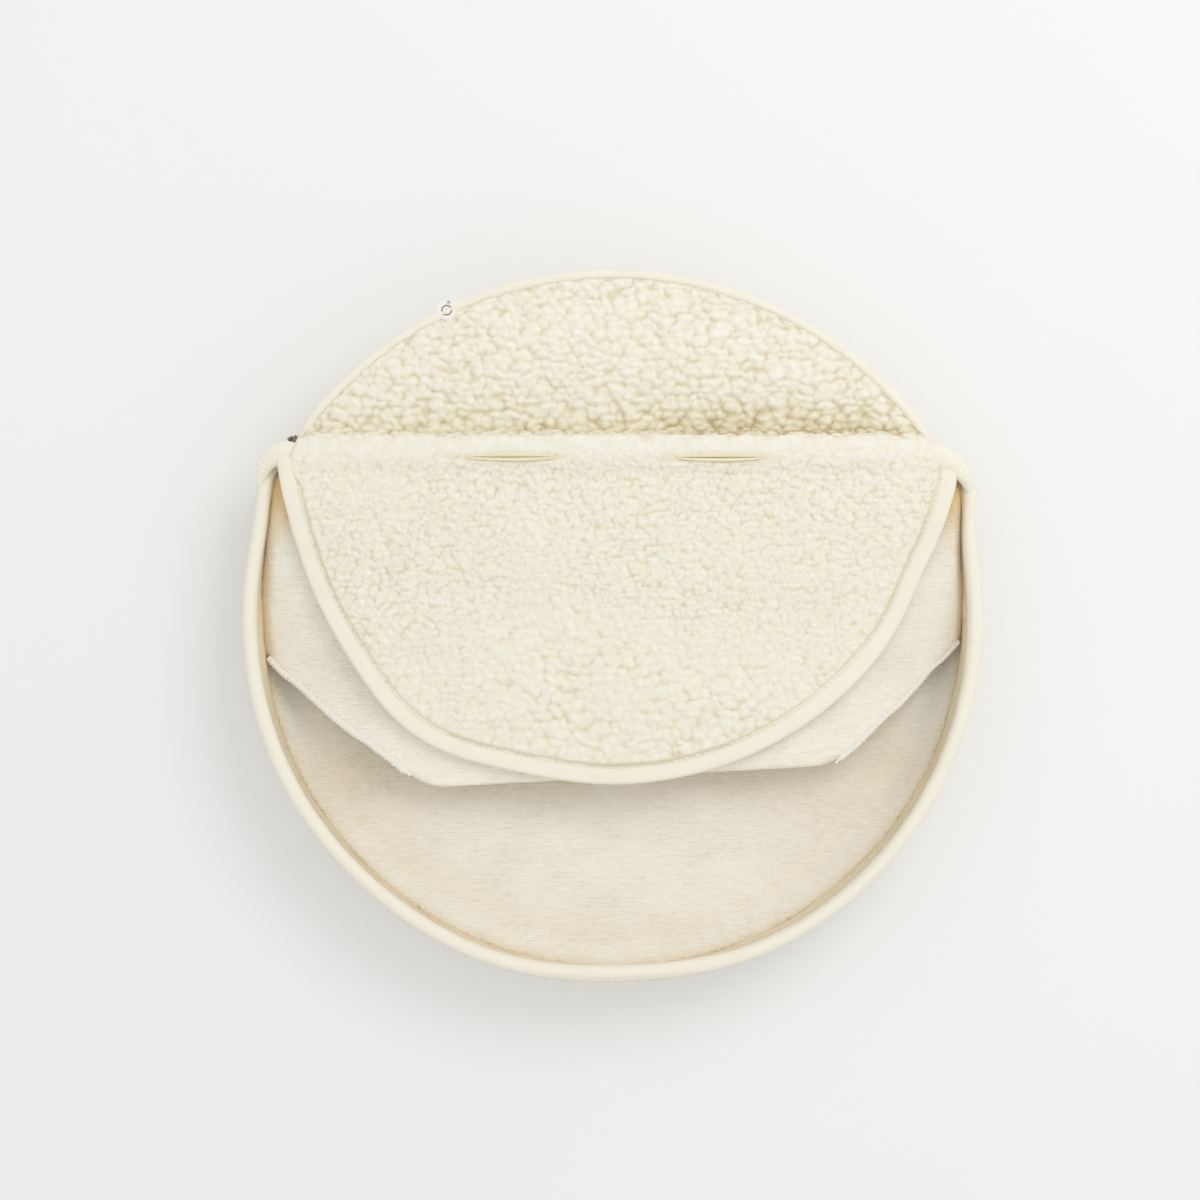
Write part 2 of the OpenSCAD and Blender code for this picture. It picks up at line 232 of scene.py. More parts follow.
def depth_inside(x, y):
    """Distance inwards from the cover's back edge."""
    return BACK_R - COVER_INSET - np.hypot(x, y - BACK_CY)


def cover_top(x, y):
    """The cover behind the fold: it climbs to the crest and drops behind it."""
    depth = np.clip(depth_inside(x, y) / 60, 0, 1)
    dip = (6 * hump(x, 95, 100) + 4 * hump(x, -70, 120)) * hump(y, 136, 7, 24)
    back = COVER_EDGE_Z + (VALLEY_Z - COVER_EDGE_Z) * np.sin(np.pi / 2 * depth) - dip * smooth(depth * 2)
    back = np.minimum(back, crest_top(x))
    climb = np.sin(np.pi / 2 * np.clip((y - FOLD_Y) / (CREST_Y - FOLD_Y), -1, 1))
    front = fold_top(x) + (crest_top(x) - fold_top(x)) * climb
    behind = back + (crest_top(x) - back) * hump(y, CREST_Y, 1, 4.6)
    return np.where(y < CREST_Y, front, behind)


def flap_top(x, y):
    """The flap in front of the fold: it falls to its front edge, and its sides sag."""
    s = np.clip((FOLD_Y - y) / (FOLD_Y - FLAP_CY + FLAP_R), 0, 1)
    sag = FLAP_SAG * (x / FLAP_R) ** 2 * np.sin(np.pi * s) ** 2
    return FLAP_FRONT_Z + (fold_top(x) - FLAP_FRONT_Z) * (1 - s**1.6) - sag


def fleece_top(x, y):
    """The whole cover's top without its pile, with the soft dents of a cloth that lies loose."""
    turn = smooth((y - FOLD_Y + 7) / 14)
    base = flap_top(x, np.minimum(y, FOLD_Y)) * (1 - turn) + cover_top(x, np.maximum(y, FOLD_Y)) * turn
    loose = smooth((96 - y) / 40) * smooth((FLAP_R - 14 - np.hypot(x, y - FLAP_CY)) / 40)
    dents = 2.2 * noise(x, y, 62, 5) + 1.2 * noise(x, y, 27, 6) - 2.2 * hump(x, -150, 40) * hump(y, 35, 45)
    slack = 0.9 * noise(x, y, 40, 7) * smooth((y - 136) / 20) * smooth(depth_inside(x, y) / 25)
    return base + dents * loose + slack


def lengths(path):
    """Distance along a path at each of its points."""
    return np.concatenate([[0], np.cumsum(np.linalg.norm(np.diff(path, axis=0), axis=1))])


# The cover's middle line over the crest: its y, and its length measured along the cloth
ROLL_Y = np.linspace(FOLD_Y, FOLD_Y + 70, 281)
ROLL_S = FOLD_Y + lengths(np.stack([ROLL_Y, cover_top(0.0, ROLL_Y)], 1))


def unrolled(x, y):
    """Where a point lies along the cloth, which climbs the crest and drops behind it."""
    return y + np.interp(y, ROLL_Y, ROLL_S - ROLL_Y) * side_fade(x)


def rolled(s):
    """The y of a row of points evenly spaced along the cloth's middle line."""
    beyond = s - ROLL_S[-1] + ROLL_Y[-1]
    return np.where(s < FOLD_Y, s, np.where(s > ROLL_S[-1], beyond, np.interp(s, ROLL_S, ROLL_Y)))


def panel_top(x, y):
    ripple = 0.8 * noise(x, y, 45, 8) + 0.5 * noise(x, y, 19, 9)
    hang = 9 * smooth((np.abs(x) - 100) / 110) * hump(y, -45, 60, 55)
    return flap_top(x, y) - FLEECE_T - PANEL_GAP - hang + ripple * smooth((90 - y) / 30)


# ---- The flap's outline ----

def flap_radius(angle):
    """Radius of the binding's outer edge about the flap's middle: 180 left, 270 front, 360 right."""
    swell = 10 * hump(angle, 236, 13, 15) + 2 * smooth((angle - 250) / 20) - 4.5 * hump(angle, 195, 16)
    return FLAP_R + swell - 3.5 * hump(angle, 337, 8) + 4 * hump(angle, 360, 9)


def flap_gap(x, y, inset):
    """Signed distance from a line inset from the flap's outer edge, inside negative."""
    angle = np.mod(np.degrees(np.arctan2(y - FLAP_CY, x)) - 90, 360) + 90
    return np.hypot(x, y - FLAP_CY) - flap_radius(angle) + inset


def lens_gap(x, y, middle, length, width):
    """Signed distance from a lens-shaped slit, inside negative."""
    r = (length**2 + width**2) / (4 * width)
    dx, dy = x - middle[0], np.abs(y - middle[1])
    return np.hypot(dx, dy + r - width / 2) - r


def cover_gap(x, y):
    """Signed distance from the edge of the fleece, with its slits cut out."""
    back = -depth_inside(x, y) - 1.8
    flap = flap_gap(x, np.minimum(y, FLAP_CY), BINDING_W - 1.6)
    gap = flap + (back - flap) * smooth((y - FOLD_Y + 10) / 24)
    for middle in SLITS:
        gap = np.maximum(gap, -lens_gap(x, y, middle, SLIT_L + 1.6, SLIT_W + 1.5))
    return gap


def soft_max(a, b, reach):
    """The larger of two distances, rounded where they meet."""
    h = np.clip(0.5 + (a - b) / (2 * reach), 0, 1)
    return b + (a - b) * h + reach * h * (1 - h)


PANEL_REACH = 11.2
PANEL_CORNERS = {-1: ((-236, -19), (-139, -98)), 1: ((237, -7), (154, -90))}


def edge_bow(share, side):
    """How far the panel's slanted edge bows out along its length."""
    return 1.6 * np.sin(np.pi * np.clip(share, 0, 1)) + 0.8 * wander(share * 120, 15, 96 + side)


def panel_gap(x, y):
    """Signed distance from the lining panel's outline."""
    gap = soft_max(ring_gap(x, y, -PANEL_REACH), y - (BLEND_FROM - 2), 4)
    for side, (tip, corner) in PANEL_CORNERS.items():
        run, rise = corner[0] - tip[0], corner[1] - tip[1]
        long = math.hypot(run, rise)
        share = ((x - tip[0]) * run + (y - tip[1]) * rise) / long**2
        slant = side * ((y - tip[1]) * run - (x - tip[0]) * rise) / long
        gap = soft_max(gap, slant - edge_bow(share, side), 2)
    return soft_max(gap, -(y + 101 - 0.055 * x), 11)


# ---- Mesh builders ----

def new_piece(name, points, faces, material, cloth=None, fields=None):
    """A smooth-shaded mesh object from points in millimetres and lists of equal-sized faces."""
    mesh = bpy.data.meshes.new(name)
    points = np.reshape(points, (-1, 3))
    faces = [np.asarray(f, np.int32) for f in faces]
    corners = np.concatenate([f.ravel() for f in faces])
    sizes = np.concatenate([np.full(len(f), f.shape[1]) for f in faces])
    mesh.vertices.add(len(points))
    mesh.vertices.foreach_set("co", (points * MM).astype(np.float32).ravel())
    mesh.loops.add(len(corners))
    mesh.loops.foreach_set("vertex_index", corners)
    mesh.polygons.add(len(sizes))
    mesh.polygons.foreach_set("loop_start", np.concatenate([[0], np.cumsum(sizes)[:-1]]).astype(np.int32))
    mesh.update(calc_edges=True)
    mesh.validate()
    mesh.polygons.foreach_set("use_smooth", np.ones(len(mesh.polygons), bool))
    coords = mesh.attributes.new("cloth", "FLOAT_VECTOR", "POINT")
    coords.data.foreach_set("vector", np.asarray(points if cloth is None else cloth, np.float32).ravel())
    for key, values in (fields or {}).items():
        field = mesh.attributes.new(key, "FLOAT", "POINT")
        field.data.foreach_set("value", np.asarray(values, np.float32))
    obj = bpy.data.objects.new(name, mesh)
    bpy.context.scene.collection.objects.link(obj)
    mesh.materials.append(material)
    return obj


def face_out(obj):
    """Turns every face of a closed mesh outwards."""
    bm = bmesh.new()
    bm.from_mesh(obj.data)
    bmesh.ops.recalc_face_normals(bm, faces=bm.faces)
    bm.to_mesh(obj.data)
    bm.free()
    return obj


def grid_faces(rows, cols, close_rows=False, close_cols=False):
    """Quads between neighbouring rows and columns of a grid of points."""
    i = np.arange(rows if close_rows else rows - 1)
    j = np.arange(cols if close_cols else cols - 1)
    i, j = (g.ravel() for g in np.meshgrid(i, j, indexing="ij"))
    i2, j2 = (i + 1) % rows, (j + 1) % cols
    return np.stack([i * cols + j, i * cols + j2, i2 * cols + j2, i2 * cols + j], 1)


def directions(path, closed):
    """Unit vectors sideways and upwards along a path."""
    ahead, behind = np.roll(path, -1, 0), np.roll(path, 1, 0)
    if not closed:
        ahead[-1], behind[0] = path[-1], path[0]
    along = ahead - behind
    along /= np.linalg.norm(along, axis=1, keepdims=True)
    across = np.cross(along, [0.0, 0.0, 1.0])
    across /= np.linalg.norm(across, axis=1, keepdims=True)
    return across, np.cross(across, along)


def turns(sides):
    """Angles in radians of evenly spaced points round a circle."""
    return np.arange(sides) * 2 * np.pi / sides


def laid_out(along, across):
    """Each point's place on its cloth."""
    return np.stack(np.broadcast_arrays(along, across, 0.0), -1).reshape(-1, 3)


def fan(tip, ring, turned=False):
    """Triangles from one point to the sides of a ring of points."""
    after = np.roll(ring, -1)
    pair = (after, ring) if turned else (ring, after)
    return np.stack([np.full(len(ring), tip), *pair], 1)


def sweep(name, path, section, material, closed=False):
    """A closed section carried along a path; section is (k, 2) or one such per point of the path."""
    across, up = directions(path, closed)
    section = np.broadcast_to(section, (len(path),) + np.shape(section)[-2:])
    points = path[:, None] + across[:, None] * section[..., :1] + up[:, None] * section[..., 1:]
    n, k = points.shape[:2]
    s, points = lengths(path), points.reshape(-1, 3)
    cloth = laid_out(s[:, None], lengths(section[0]))
    faces = [grid_faces(n, k, closed, True)]
    if not closed:
        points = np.concatenate([points, [path[0], path[-1]]])
        cloth = np.concatenate([cloth, [[0, 0, 0], [s[-1], 0, 0]]])
        first = np.arange(k)
        faces += [fan(n * k, first, True), fan(n * k + 1, first + (n - 1) * k)]
    return face_out(new_piece(name, points, faces, material, cloth))


def ring_sheet(name, angle, z, out, material, deep=None):
    """Cloth all round the bed, its face at a distance from the outline; deep gives its painted shade at each
    point.
    """
    along = np.radians(angle) * BED_R
    back = ring_points(angle, out - WALL_CLOTH, z)[:, ::-1]
    points = np.concatenate([ring_points(angle, out, z), back], 1)
    cloth = laid_out(np.concatenate([along, along], 1), np.concatenate([z, z[:, ::-1]], 1))
    fields = {"deep": np.clip(deep(points), 0, 1).ravel()} if deep else None
    faces = [grid_faces(*points.shape[:2], True, True)]
    return face_out(new_piece(name, points, faces, material, cloth, fields))


def folded_strip(name, points, along, across, material):
    """A strip from rows of points round its section, whose second half runs back under the first."""
    n, k = points.shape[:2]
    j = np.arange(k // 2 - 1)
    cap = np.stack([j, j + 1, k - 2 - j, k - 1 - j], 1)
    faces = [grid_faces(n, k, False, True), cap, cap + (n - 1) * k]
    return face_out(new_piece(name, points, faces, material, laid_out(along[:, None], across)))


def repeated(rings, sides, count):
    """Faces of many short threads, each with so many rings of points and a cap at both ends."""
    start = rings * sides * np.arange(count)[:, None, None]
    caps = np.array([np.arange(sides)[::-1], (rings - 1) * sides + np.arange(sides)])
    return [(one + start).reshape(-1, one.shape[1]) for one in (grid_faces(rings, sides, False, True), caps)]


def cord(name, path, radius, sides, material, closed=False):
    """A round cord whose radius changes along its path."""
    a = turns(sides)
    circle = np.stack([np.cos(a), np.sin(a)], 1)
    return sweep(name, path, circle[None] * radius[:, None, None], material, closed)


def sheet_grid(gap, lo, hi, step, row=None):
    """Grid points and quads inside an outline, with the edge points moved onto it, and which those are."""
    gx, gy = np.meshgrid(np.arange(lo[0], hi[0] + step, step), np.arange(lo[1], hi[1] + step, step))
    gy = row(gy) if row else gy
    inside = gap(gx, gy) < 0.45 * step
    quads = grid_faces(*gx.shape)
    quads = quads[inside.ravel()[quads].all(1)]
    used, quads = np.unique(quads, return_inverse=True)
    quads = quads.reshape(-1, 4)
    x, y = gx.ravel()[used], gy.ravel()[used]
    edges = np.stack([quads, np.roll(quads, -1, 1)], -1).reshape(-1, 2)
    _, where, count = np.unique(np.sort(edges, 1), axis=0, return_index=True, return_counts=True)
    border = edges[where[count == 1]]
    rim = np.unique(border)
    for _ in range(4):
        d = gap(x[rim], y[rim])
        sx = (gap(x[rim] + 0.05, y[rim]) - gap(x[rim] - 0.05, y[rim])) / 0.1
        sy = (gap(x[rim], y[rim] + 0.05) - gap(x[rim], y[rim] - 0.05)) / 0.1
        size = np.maximum(sx**2 + sy**2, 0.2)
        x[rim] -= np.clip(d * sx / size, -step, step)
        y[rim] -= np.clip(d * sy / size, -step, step)
    return x, y, quads, border


def sheet_piece(name, x, y, top, bottom, quads, border, material, fields=None, shift=0):
    """A closed sheet between a top and a bottom height at the same grid points, its top shifted in y."""
    n = len(x)
    points = np.concatenate([np.stack([x, y + shift, top], 1), np.stack([x, y, bottom], 1)])
    side = np.stack([border[:, 1], border[:, 0], border[:, 0] + n, border[:, 1] + n], 1)
    faces = [quads, quads[:, ::-1] + n, side]
    both = {k: np.concatenate([v, np.zeros(n)]) for k, v in (fields or {}).items()}
    return new_piece(name, points, faces, material, fields=both)


# ---- Materials ----

class Cloth:
    """A node material that is built up from textures in the cloth's own coordinates, in millimetres."""

    def __init__(self, name, on_cloth=True, **sockets):
        self.material = bpy.data.materials.new(name)
        self.material.use_nodes = True
        self.tree = self.material.node_tree
        self.bsdf = self.tree.nodes["Principled BSDF"]
        self.connect(self.bsdf, {key.replace("_", " "): value for key, value in sockets.items()})
        if on_cloth:
            self.place = self.node("ShaderNodeAttribute", attribute_name="cloth").outputs["Vector"]
        else:
            inputs = {0: self.node("ShaderNodeTexCoord").outputs["Object"], "Scale": 1 / MM}
            self.place = self.node("ShaderNodeVectorMath", inputs, operation="SCALE").outputs[0]

    def connect(self, node, inputs):
        """Sets a node's inputs to values, or joins them to other nodes' sockets."""
        for key, value in inputs.items():
            if isinstance(value, bpy.types.NodeSocket):
                self.tree.links.new(value, node.inputs[key])
            else:
                node.inputs[key].default_value = value

    def node(self, kind, inputs=None, **settings):
        made = self.tree.nodes.new(kind)
        for key, value in settings.items():
            setattr(made, key, value)
        self.connect(made, inputs or {})
        return made

    def stretched(self, scale):
        """The place times a scale, which is one number or one for each axis."""
        inputs = {0: self.place, 1: [float(part) for part in np.broadcast_to(scale, 3)]}
        return self.node("ShaderNodeVectorMath", inputs, operation="MULTIPLY").outputs[0]

    def noise(self, scale, detail, rough=0.5, distortion=0.0):
        inputs = {"Vector": self.stretched(scale), "Scale": 1, "Detail": detail, "Roughness": rough,
                  "Distortion": distortion}
        return self.node("ShaderNodeTexNoise", inputs).outputs["Fac"]

    def bands(self, scale, distortion, direction):
        """Soft stripes, one for each millimetre divided by scale."""
        inputs = {"Vector": self.stretched(scale), "Scale": math.pi / 10, "Distortion": distortion,
                  "Detail": 1, "Detail Scale": 1}
        return self.node("ShaderNodeTexWave", inputs, bands_direction=direction).outputs["Fac"]

    def field(self, name):
        return self.node("ShaderNodeAttribute", attribute_name=name).outputs["Fac"]

    def sum(self, *parts):
        """Adds (socket, share) pairs."""
        total = 0
        for socket, share in parts:
            inputs = {0: socket, 1: share, 2: total}
            total = self.node("ShaderNodeMath", inputs, operation="MULTIPLY_ADD").outputs[0]
        return total

    def colours(self, fac, *stops):
        """Colour along a ramp of (place, colour) stops."""
        made = self.node("ShaderNodeValToRGB", {"Fac": fac})
        ramp = made.color_ramp
        ramp.interpolation = "EASE"
        while len(ramp.elements) < len(stops):
            ramp.elements.new(0.5)
        for element, (place, colour) in zip(ramp.elements, stops):
            element.position = place
            element.color = (*colour, 1)
        return made.outputs["Color"]

    def darken(self, colour, field, tone):
        """Multiplies a colour by a tone where a field of the mesh says so; used to paint shade into the
        knit.
        """
        inputs = {"Factor": self.field(field), 6: colour, 7: (*tone, 1)}
        return self.node("ShaderNodeMix", inputs, data_type="RGBA", blend_type="MULTIPLY").outputs[2]

    def finish(self, colour, height, strength, distance, rough=None):
        """Connects colour, bump height (distance in millimetres) and an uneven roughness."""
        inputs = {"Strength": strength, "Distance": distance * MM, "Height": height}
        bump = self.node("ShaderNodeBump", inputs)
        self.connect(self.bsdf, {"Base Color": colour, "Normal": bump.outputs[0]})
        if rough:
            span = self.node("ShaderNodeMapRange", dict(zip(("Value", "To Min", "To Max"), rough)))
            self.connect(self.bsdf, {"Roughness": span.outputs[0]})
        return self.material


def tinted(stops, tint):
    """Colour stops times a tint."""
    return [(at, tuple(c * t for c, t in zip(colour, tint))) for at, colour in stops]


def fleece_material():
    """Curly pile and fine crimped fibres, with painted light in the colour: lighter tips, and painted shade
    in the deep warm creases.
    """
    m = Cloth("sherpa_fleece", Roughness=0.95, Sheen_Weight=0.35, Sheen_Roughness=0.45,
              Sheen_Tint=(1.0, 0.97, 0.9, 1), Subsurface_Weight=0.12, Subsurface_Scale=0.003,
              Subsurface_Radius=(1.0, 0.8, 0.55), Specular_IOR_Level=0.12)
    fibres = m.noise(0.55, 4, 0.66, 1.6)
    strands = m.noise(1.7, 3, 0.62, 0.9)
    patches = m.noise(0.018, 2)
    # The pile field is the pile's height plus painted shade: low values give the warm painted shade of
    # creases and folds, high ones the lighter tips.
    shade = m.sum((m.field("pile"), 0.72), (fibres, 0.38), (patches, 0.12))
    colour = m.colours(shade, (0.0, (0.60, 0.48, 0.26)), (0.28, (0.81, 0.735, 0.53)),
                       (0.58, (0.925, 0.88, 0.73)), (0.95, (0.965, 0.935, 0.83)))
    return m.finish(colour, m.sum((fibres, 0.62), (strands, 0.38)), 0.7, 1.2, (strands, 0.88, 1.0))


def cotton_material(name="cotton_binding", tint=(1, 1, 1)):
    """Smooth plain-weave cotton with faint slubs."""
    m = Cloth(name, Roughness=0.82, Sheen_Weight=0.12, Sheen_Roughness=0.4, Specular_IOR_Level=0.25)
    weave = m.sum((m.bands(2.6, 0.4, "X"), 0.5), (m.bands(2.6, 0.4, "Y"), 0.5))
    slub = m.noise((0.05, 0.9, 0.9), 3, 0.6)
    cross = m.noise((0.9, 0.06, 0.9), 3, 0.6)
    cloudy = m.noise(0.03, 2)
    shade = m.sum((weave, 0.12), (slub, 0.35), (cross, 0.28), (cloudy, 0.25))
    stops = ((0.25, (0.80, 0.742, 0.60)), (0.5, (0.872, 0.825, 0.70)), (0.8, (0.905, 0.865, 0.755)))
    colour = m.colours(shade, *tinted(stops, tint))
    return m.finish(colour, m.sum((weave, 0.55), (slub, 0.25), (cross, 0.2)), 0.35, 0.12,
                    (cloudy, 0.76, 0.88))


def knit_material(name="knit_lining", tint=(1, 1, 1)):
    """Brushed rib knit in a pale melange yarn, its rows running across the bed; the deep field paints shade
    into it.
    """
    m = Cloth(name, Roughness=0.92, Sheen_Weight=0.3, Sheen_Roughness=0.5, Specular_IOR_Level=0.15)
    rows = m.bands(0.62, 1.6, "Y")
    loops = m.bands(0.86, 1.2, "X")
    streaks = m.noise((0.13, 0.85, 0.13), 3, 0.62, 0.4)
    flecks = m.noise((0.55, 0.95, 0.55), 2, 0.7)
    fuzz = m.noise(1.7, 3, 0.65, 0.6)
    cloudy = m.noise((0.022, 0.03, 0.03), 2)
    shade = m.sum((rows, 0.08), (loops, 0.04), (streaks, 0.42), (flecks, 0.24), (cloudy, 0.22))
    stops = ((0.34, (0.745, 0.685, 0.55)), (0.46, (0.86, 0.815, 0.70)),
             (0.54, (0.915, 0.875, 0.77)), (0.68, (0.95, 0.93, 0.85)))
    # Painted shade: where the deep field says so, the colour is multiplied by a warm brown tone.
    colour = m.darken(m.colours(shade, *tinted(stops, tint)), "deep", (0.80, 0.60, 0.32))
    height = m.sum((rows, 0.4), (loops, 0.25), (fuzz, 0.35))
    return m.finish(colour, height, 0.6, 0.5, (fuzz, 0.86, 0.98))


def thread_material():
    """Twisted sewing thread."""
    m = Cloth("thread", Roughness=0.6, Sheen_Weight=0.2, Specular_IOR_Level=0.35)
    twist = m.bands(1.6, 0.5, "DIAGONAL")
    fuzz = m.noise(1.5, 3)
    colour = m.colours(m.sum((twist, 0.6), (fuzz, 0.4)), (0.2, (0.86, 0.81, 0.70)),
                       (0.6, (0.93, 0.90, 0.83)), (0.9, (0.96, 0.95, 0.90)))
    return m.finish(colour, twist, 0.6, 0.25, (fuzz, 0.5, 0.75))


def wadding_material():
    """Loose polyester fibre."""
    m = Cloth("wadding", Roughness=0.98, on_cloth=False, Sheen_Weight=0.25, Specular_IOR_Level=0.1)
    fibres = m.noise(0.5, 5, 0.7, 2.0)
    strands = m.noise((1.6, 0.3, 1.2), 4, 0.6, 1.0)
    colour = m.colours(m.sum((fibres, 0.6), (strands, 0.4)), (0.25, (0.78, 0.78, 0.75)),
                       (0.7, (0.92, 0.92, 0.9)))
    return m.finish(colour, m.sum((fibres, 0.6), (strands, 0.4)), 0.8, 0.8, (strands, 0.9, 1.0))


def tape_material():
    """Herringbone zip tape."""
    m = Cloth("zip_tape", Roughness=0.8, Specular_IOR_Level=0.25, Sheen_Weight=0.1)
    twill = m.bands(1.5, 0.3, "DIAGONAL")
    rows = m.bands(1.1, 0.2, "Y")
    colour = m.colours(m.sum((twill, 0.5), (rows, 0.5)), (0.15, (0.76, 0.70, 0.57)),
                       (0.7, (0.88, 0.84, 0.72)))
    return m.finish(colour, m.sum((twill, 0.6), (rows, 0.4)), 0.6, 0.2, (twill, 0.7, 0.85))


def coil_material():
    """Nylon coil, a little glossy."""
    m = Cloth("zip_coil", Roughness=0.35, Specular_IOR_Level=0.5)
    cloudy = m.noise(0.3, 2)
    fine = m.noise(2.5, 2)
    colour = m.colours(cloudy, (0.3, (0.80, 0.74, 0.60)), (0.7, (0.87, 0.83, 0.71)))
    return m.finish(colour, fine, 0.3, 0.05, (fine, 0.28, 0.45))


def metal_material():
    """Dark plated zinc, brushed, with its edges rubbed brighter."""
    m = Cloth("zip_metal", Roughness=0.35, on_cloth=False, Metallic=1.0)
    brushed = m.noise((0.4, 0.4, 5.0), 3, 0.6)
    spots = m.noise(1.2, 3, 0.7)
    edge = m.node("ShaderNodeNewGeometry").outputs["Pointiness"]
    colour = m.colours(m.sum((brushed, 0.35), (spots, 0.25), (edge, 0.5)), (0.35, (0.13, 0.115, 0.095)),
                       (0.6, (0.22, 0.20, 0.17)), (0.85, (0.45, 0.42, 0.37)))
    return m.finish(colour, m.sum((brushed, 0.7), (spots, 0.3)), 0.25, 0.04, (spots, 0.25, 0.5))


def label_material():
    """Woven satin ribbon."""
    m = Cloth("woven_label", Roughness=0.45, Sheen_Weight=0.15, Specular_IOR_Level=0.45)
    rows = m.bands(3.2, 0.3, "Y")
    fine = m.noise((0.4, 4.0, 1.0), 2)
    colour = m.colours(m.sum((rows, 0.5), (fine, 0.5)), (0.2, (0.84, 0.82, 0.76)),
                       (0.7, (0.93, 0.92, 0.88)))
    return m.finish(colour, rows, 0.4, 0.08, (fine, 0.38, 0.55))


def mark_material():
    """Brown embroidery thread."""
    m = Cloth("label_thread", Roughness=0.55, Sheen_Weight=0.2)
    twist = m.bands(2.5, 0.5, "DIAGONAL")
    colour = m.colours(twist, (0.2, (0.12, 0.09, 0.06)), (0.8, (0.24, 0.19, 0.14)))
    return m.finish(colour, twist, 0.6, 0.1, (twist, 0.45, 0.65))


FLEECE = fleece_material()
COTTON = cotton_material()
# A golden copy of the cotton: painted shade for the slits' facings.
SHADED_FACING = cotton_material("cotton_facing_shaded", (0.99, 0.95, 0.82))
WALL_COTTON = cotton_material("cotton_cloth", (1.0, 0.985, 0.94))
KNIT = knit_material()
# A darker, golden copy of the knit: painted shade for the wall lining inside the bed.
SHADED_WALL_KNIT = knit_material("knit_wall_shaded", (0.97, 0.90, 0.72))
THREAD = thread_material()
WADDING = wadding_material()
TAPE = tape_material()
COIL = coil_material()
METAL = metal_material()
LABEL = label_material()
MARK = mark_material()


# ---- Padding, swelled by cloth simulation ----

SWELL_FRAMES = 20


def remeshed(obj, voxel):
    """Replaces a closed mesh by even voxel faces."""
    wanted = obj.modifiers.new("Even", "REMESH")
    wanted.mode = "VOXEL"
    wanted.voxel_size = voxel * MM
    ready = obj.evaluated_get(bpy.context.evaluated_depsgraph_get())
    mesh = bpy.data.meshes.new_from_object(ready)
    obj.modifiers.clear()
    mesh.polygons.foreach_set("use_smooth", np.ones(len(mesh.polygons), bool))
    old, obj.data = obj.data, mesh
    bpy.data.meshes.remove(old)
    return obj


def vertices(obj):
    """An object's points in millimetres."""
    co = np.zeros(len(obj.data.vertices) * 3, np.float32)
    obj.data.vertices.foreach_get("co", co)
    return co.reshape(-1, 3).astype(float) / MM


def set_vertices(obj, points):
    obj.data.vertices.foreach_set("co", (points * MM).astype(np.float32).ravel())
    obj.data.update()


def swell(obj, pressure, cap):
    """Blows a closed mesh up with Cloth, and lets no point move further than cap."""
    start = vertices(obj)
    cloth = obj.modifiers.new("Cloth", "CLOTH")
    cloth.settings.quality = 4
    cloth.settings.mass = 0.3
    cloth.settings.use_pressure = True
    cloth.settings.uniform_pressure_force = pressure
    cloth.settings.effector_weights.gravity = 0
    scene = bpy.context.scene
    for frame_number in range(1, SWELL_FRAMES + 1):
        scene.frame_set(frame_number)
    move = vertices(obj.evaluated_get(bpy.context.evaluated_depsgraph_get())) - start
    obj.modifiers.clear()
    scene.frame_set(1)
    far = np.linalg.norm(move, axis=1, keepdims=True)
    set_vertices(obj, start + move * np.minimum(1, cap / np.maximum(far, 1e-9)))
    return obj


def surface_above(obj, x, y, start_z):
    """Height of obj's surface straight under each point."""
    tree = BVHTree.FromObject(obj, bpy.context.evaluated_depsgraph_get())
    down = Vector((0, 0, -1))
    found = [tree.ray_cast(Vector((a * MM, b * MM, start_z * MM)), down)[0] for a, b in zip(x, y)]
    return np.array([np.nan if p is None else p.z / MM for p in found])


def base_pad():
    """The floor cushion: a round fibre pad."""
    angle = np.arange(0, 360, 2)
    rings = [(-17, 2.0), (-11.4, 6), (-11.4, PAD_TOP - 6), (-15, PAD_TOP - 2.2)]
    middles = [[0, FRONT_CY, rings[0][1]], [0, FRONT_CY, rings[-1][1]]]
    points = np.concatenate([ring_points(angle, *r) for r in rings] + [middles])
    n = len(angle)
    first, last, tip = np.arange(n), np.arange(3 * n, 4 * n), len(rings) * n
    faces = [grid_faces(len(rings), n, False, True), fan(tip, first, True), fan(tip + 1, last)]
    pad = remeshed(face_out(new_piece("base_pad", points, faces, WADDING)), 6)
    swell(pad, 4, 2.4)
    p = vertices(pad)
    lumps = noise(p[:, 0], p[:, 1], 55, 21) * 0.7 + noise(p[:, 0], p[:, 1], 23, 22) * 0.35
    p[:, 2] = np.clip(p[:, 2] + lumps * smooth((p[:, 2] - 12) / 6), 1.4, PAD_TOP + 0.8)
    set_vertices(pad, p)
    return pad


def wall_padding():
    """The wadding roll inside the wall, kept within the cloth's deepest folds."""
    angle = np.arange(0, 360, 1)
    z = np.array([3, 14, 28, 42, 54, 64])
    inset = top_inset(angle)
    rows = [ring_points(angle, wall_out(h, inset) - WALL_CLOTH - WADDING_GAP, h) for h in z]
    rows += [ring_points(angle, wall_in(h, inset) + WALL_CLOTH + WADDING_GAP, h) for h in z[::-1]]
    wad = new_piece("wall_padding", rows, [grid_faces(len(rows), len(angle), True, True)], WADDING)
    remeshed(face_out(wad), 4.5)
    swell(wad, 4, 1.6)
    p = vertices(wad)
    out = p[:, :2] - [0, FRONT_CY]
    face = wall_out(p[:, 2], top_inset(np.degrees(np.arctan2(out[:, 1], out[:, 0])))) - WALL_CLOTH - 1.3
    over = np.maximum(ring_gap(p[:, 0], p[:, 1], face), 0) / np.linalg.norm(out, axis=1)
    p[:, :2] -= out * over[:, None]
    set_vertices(wad, p)
    return wad


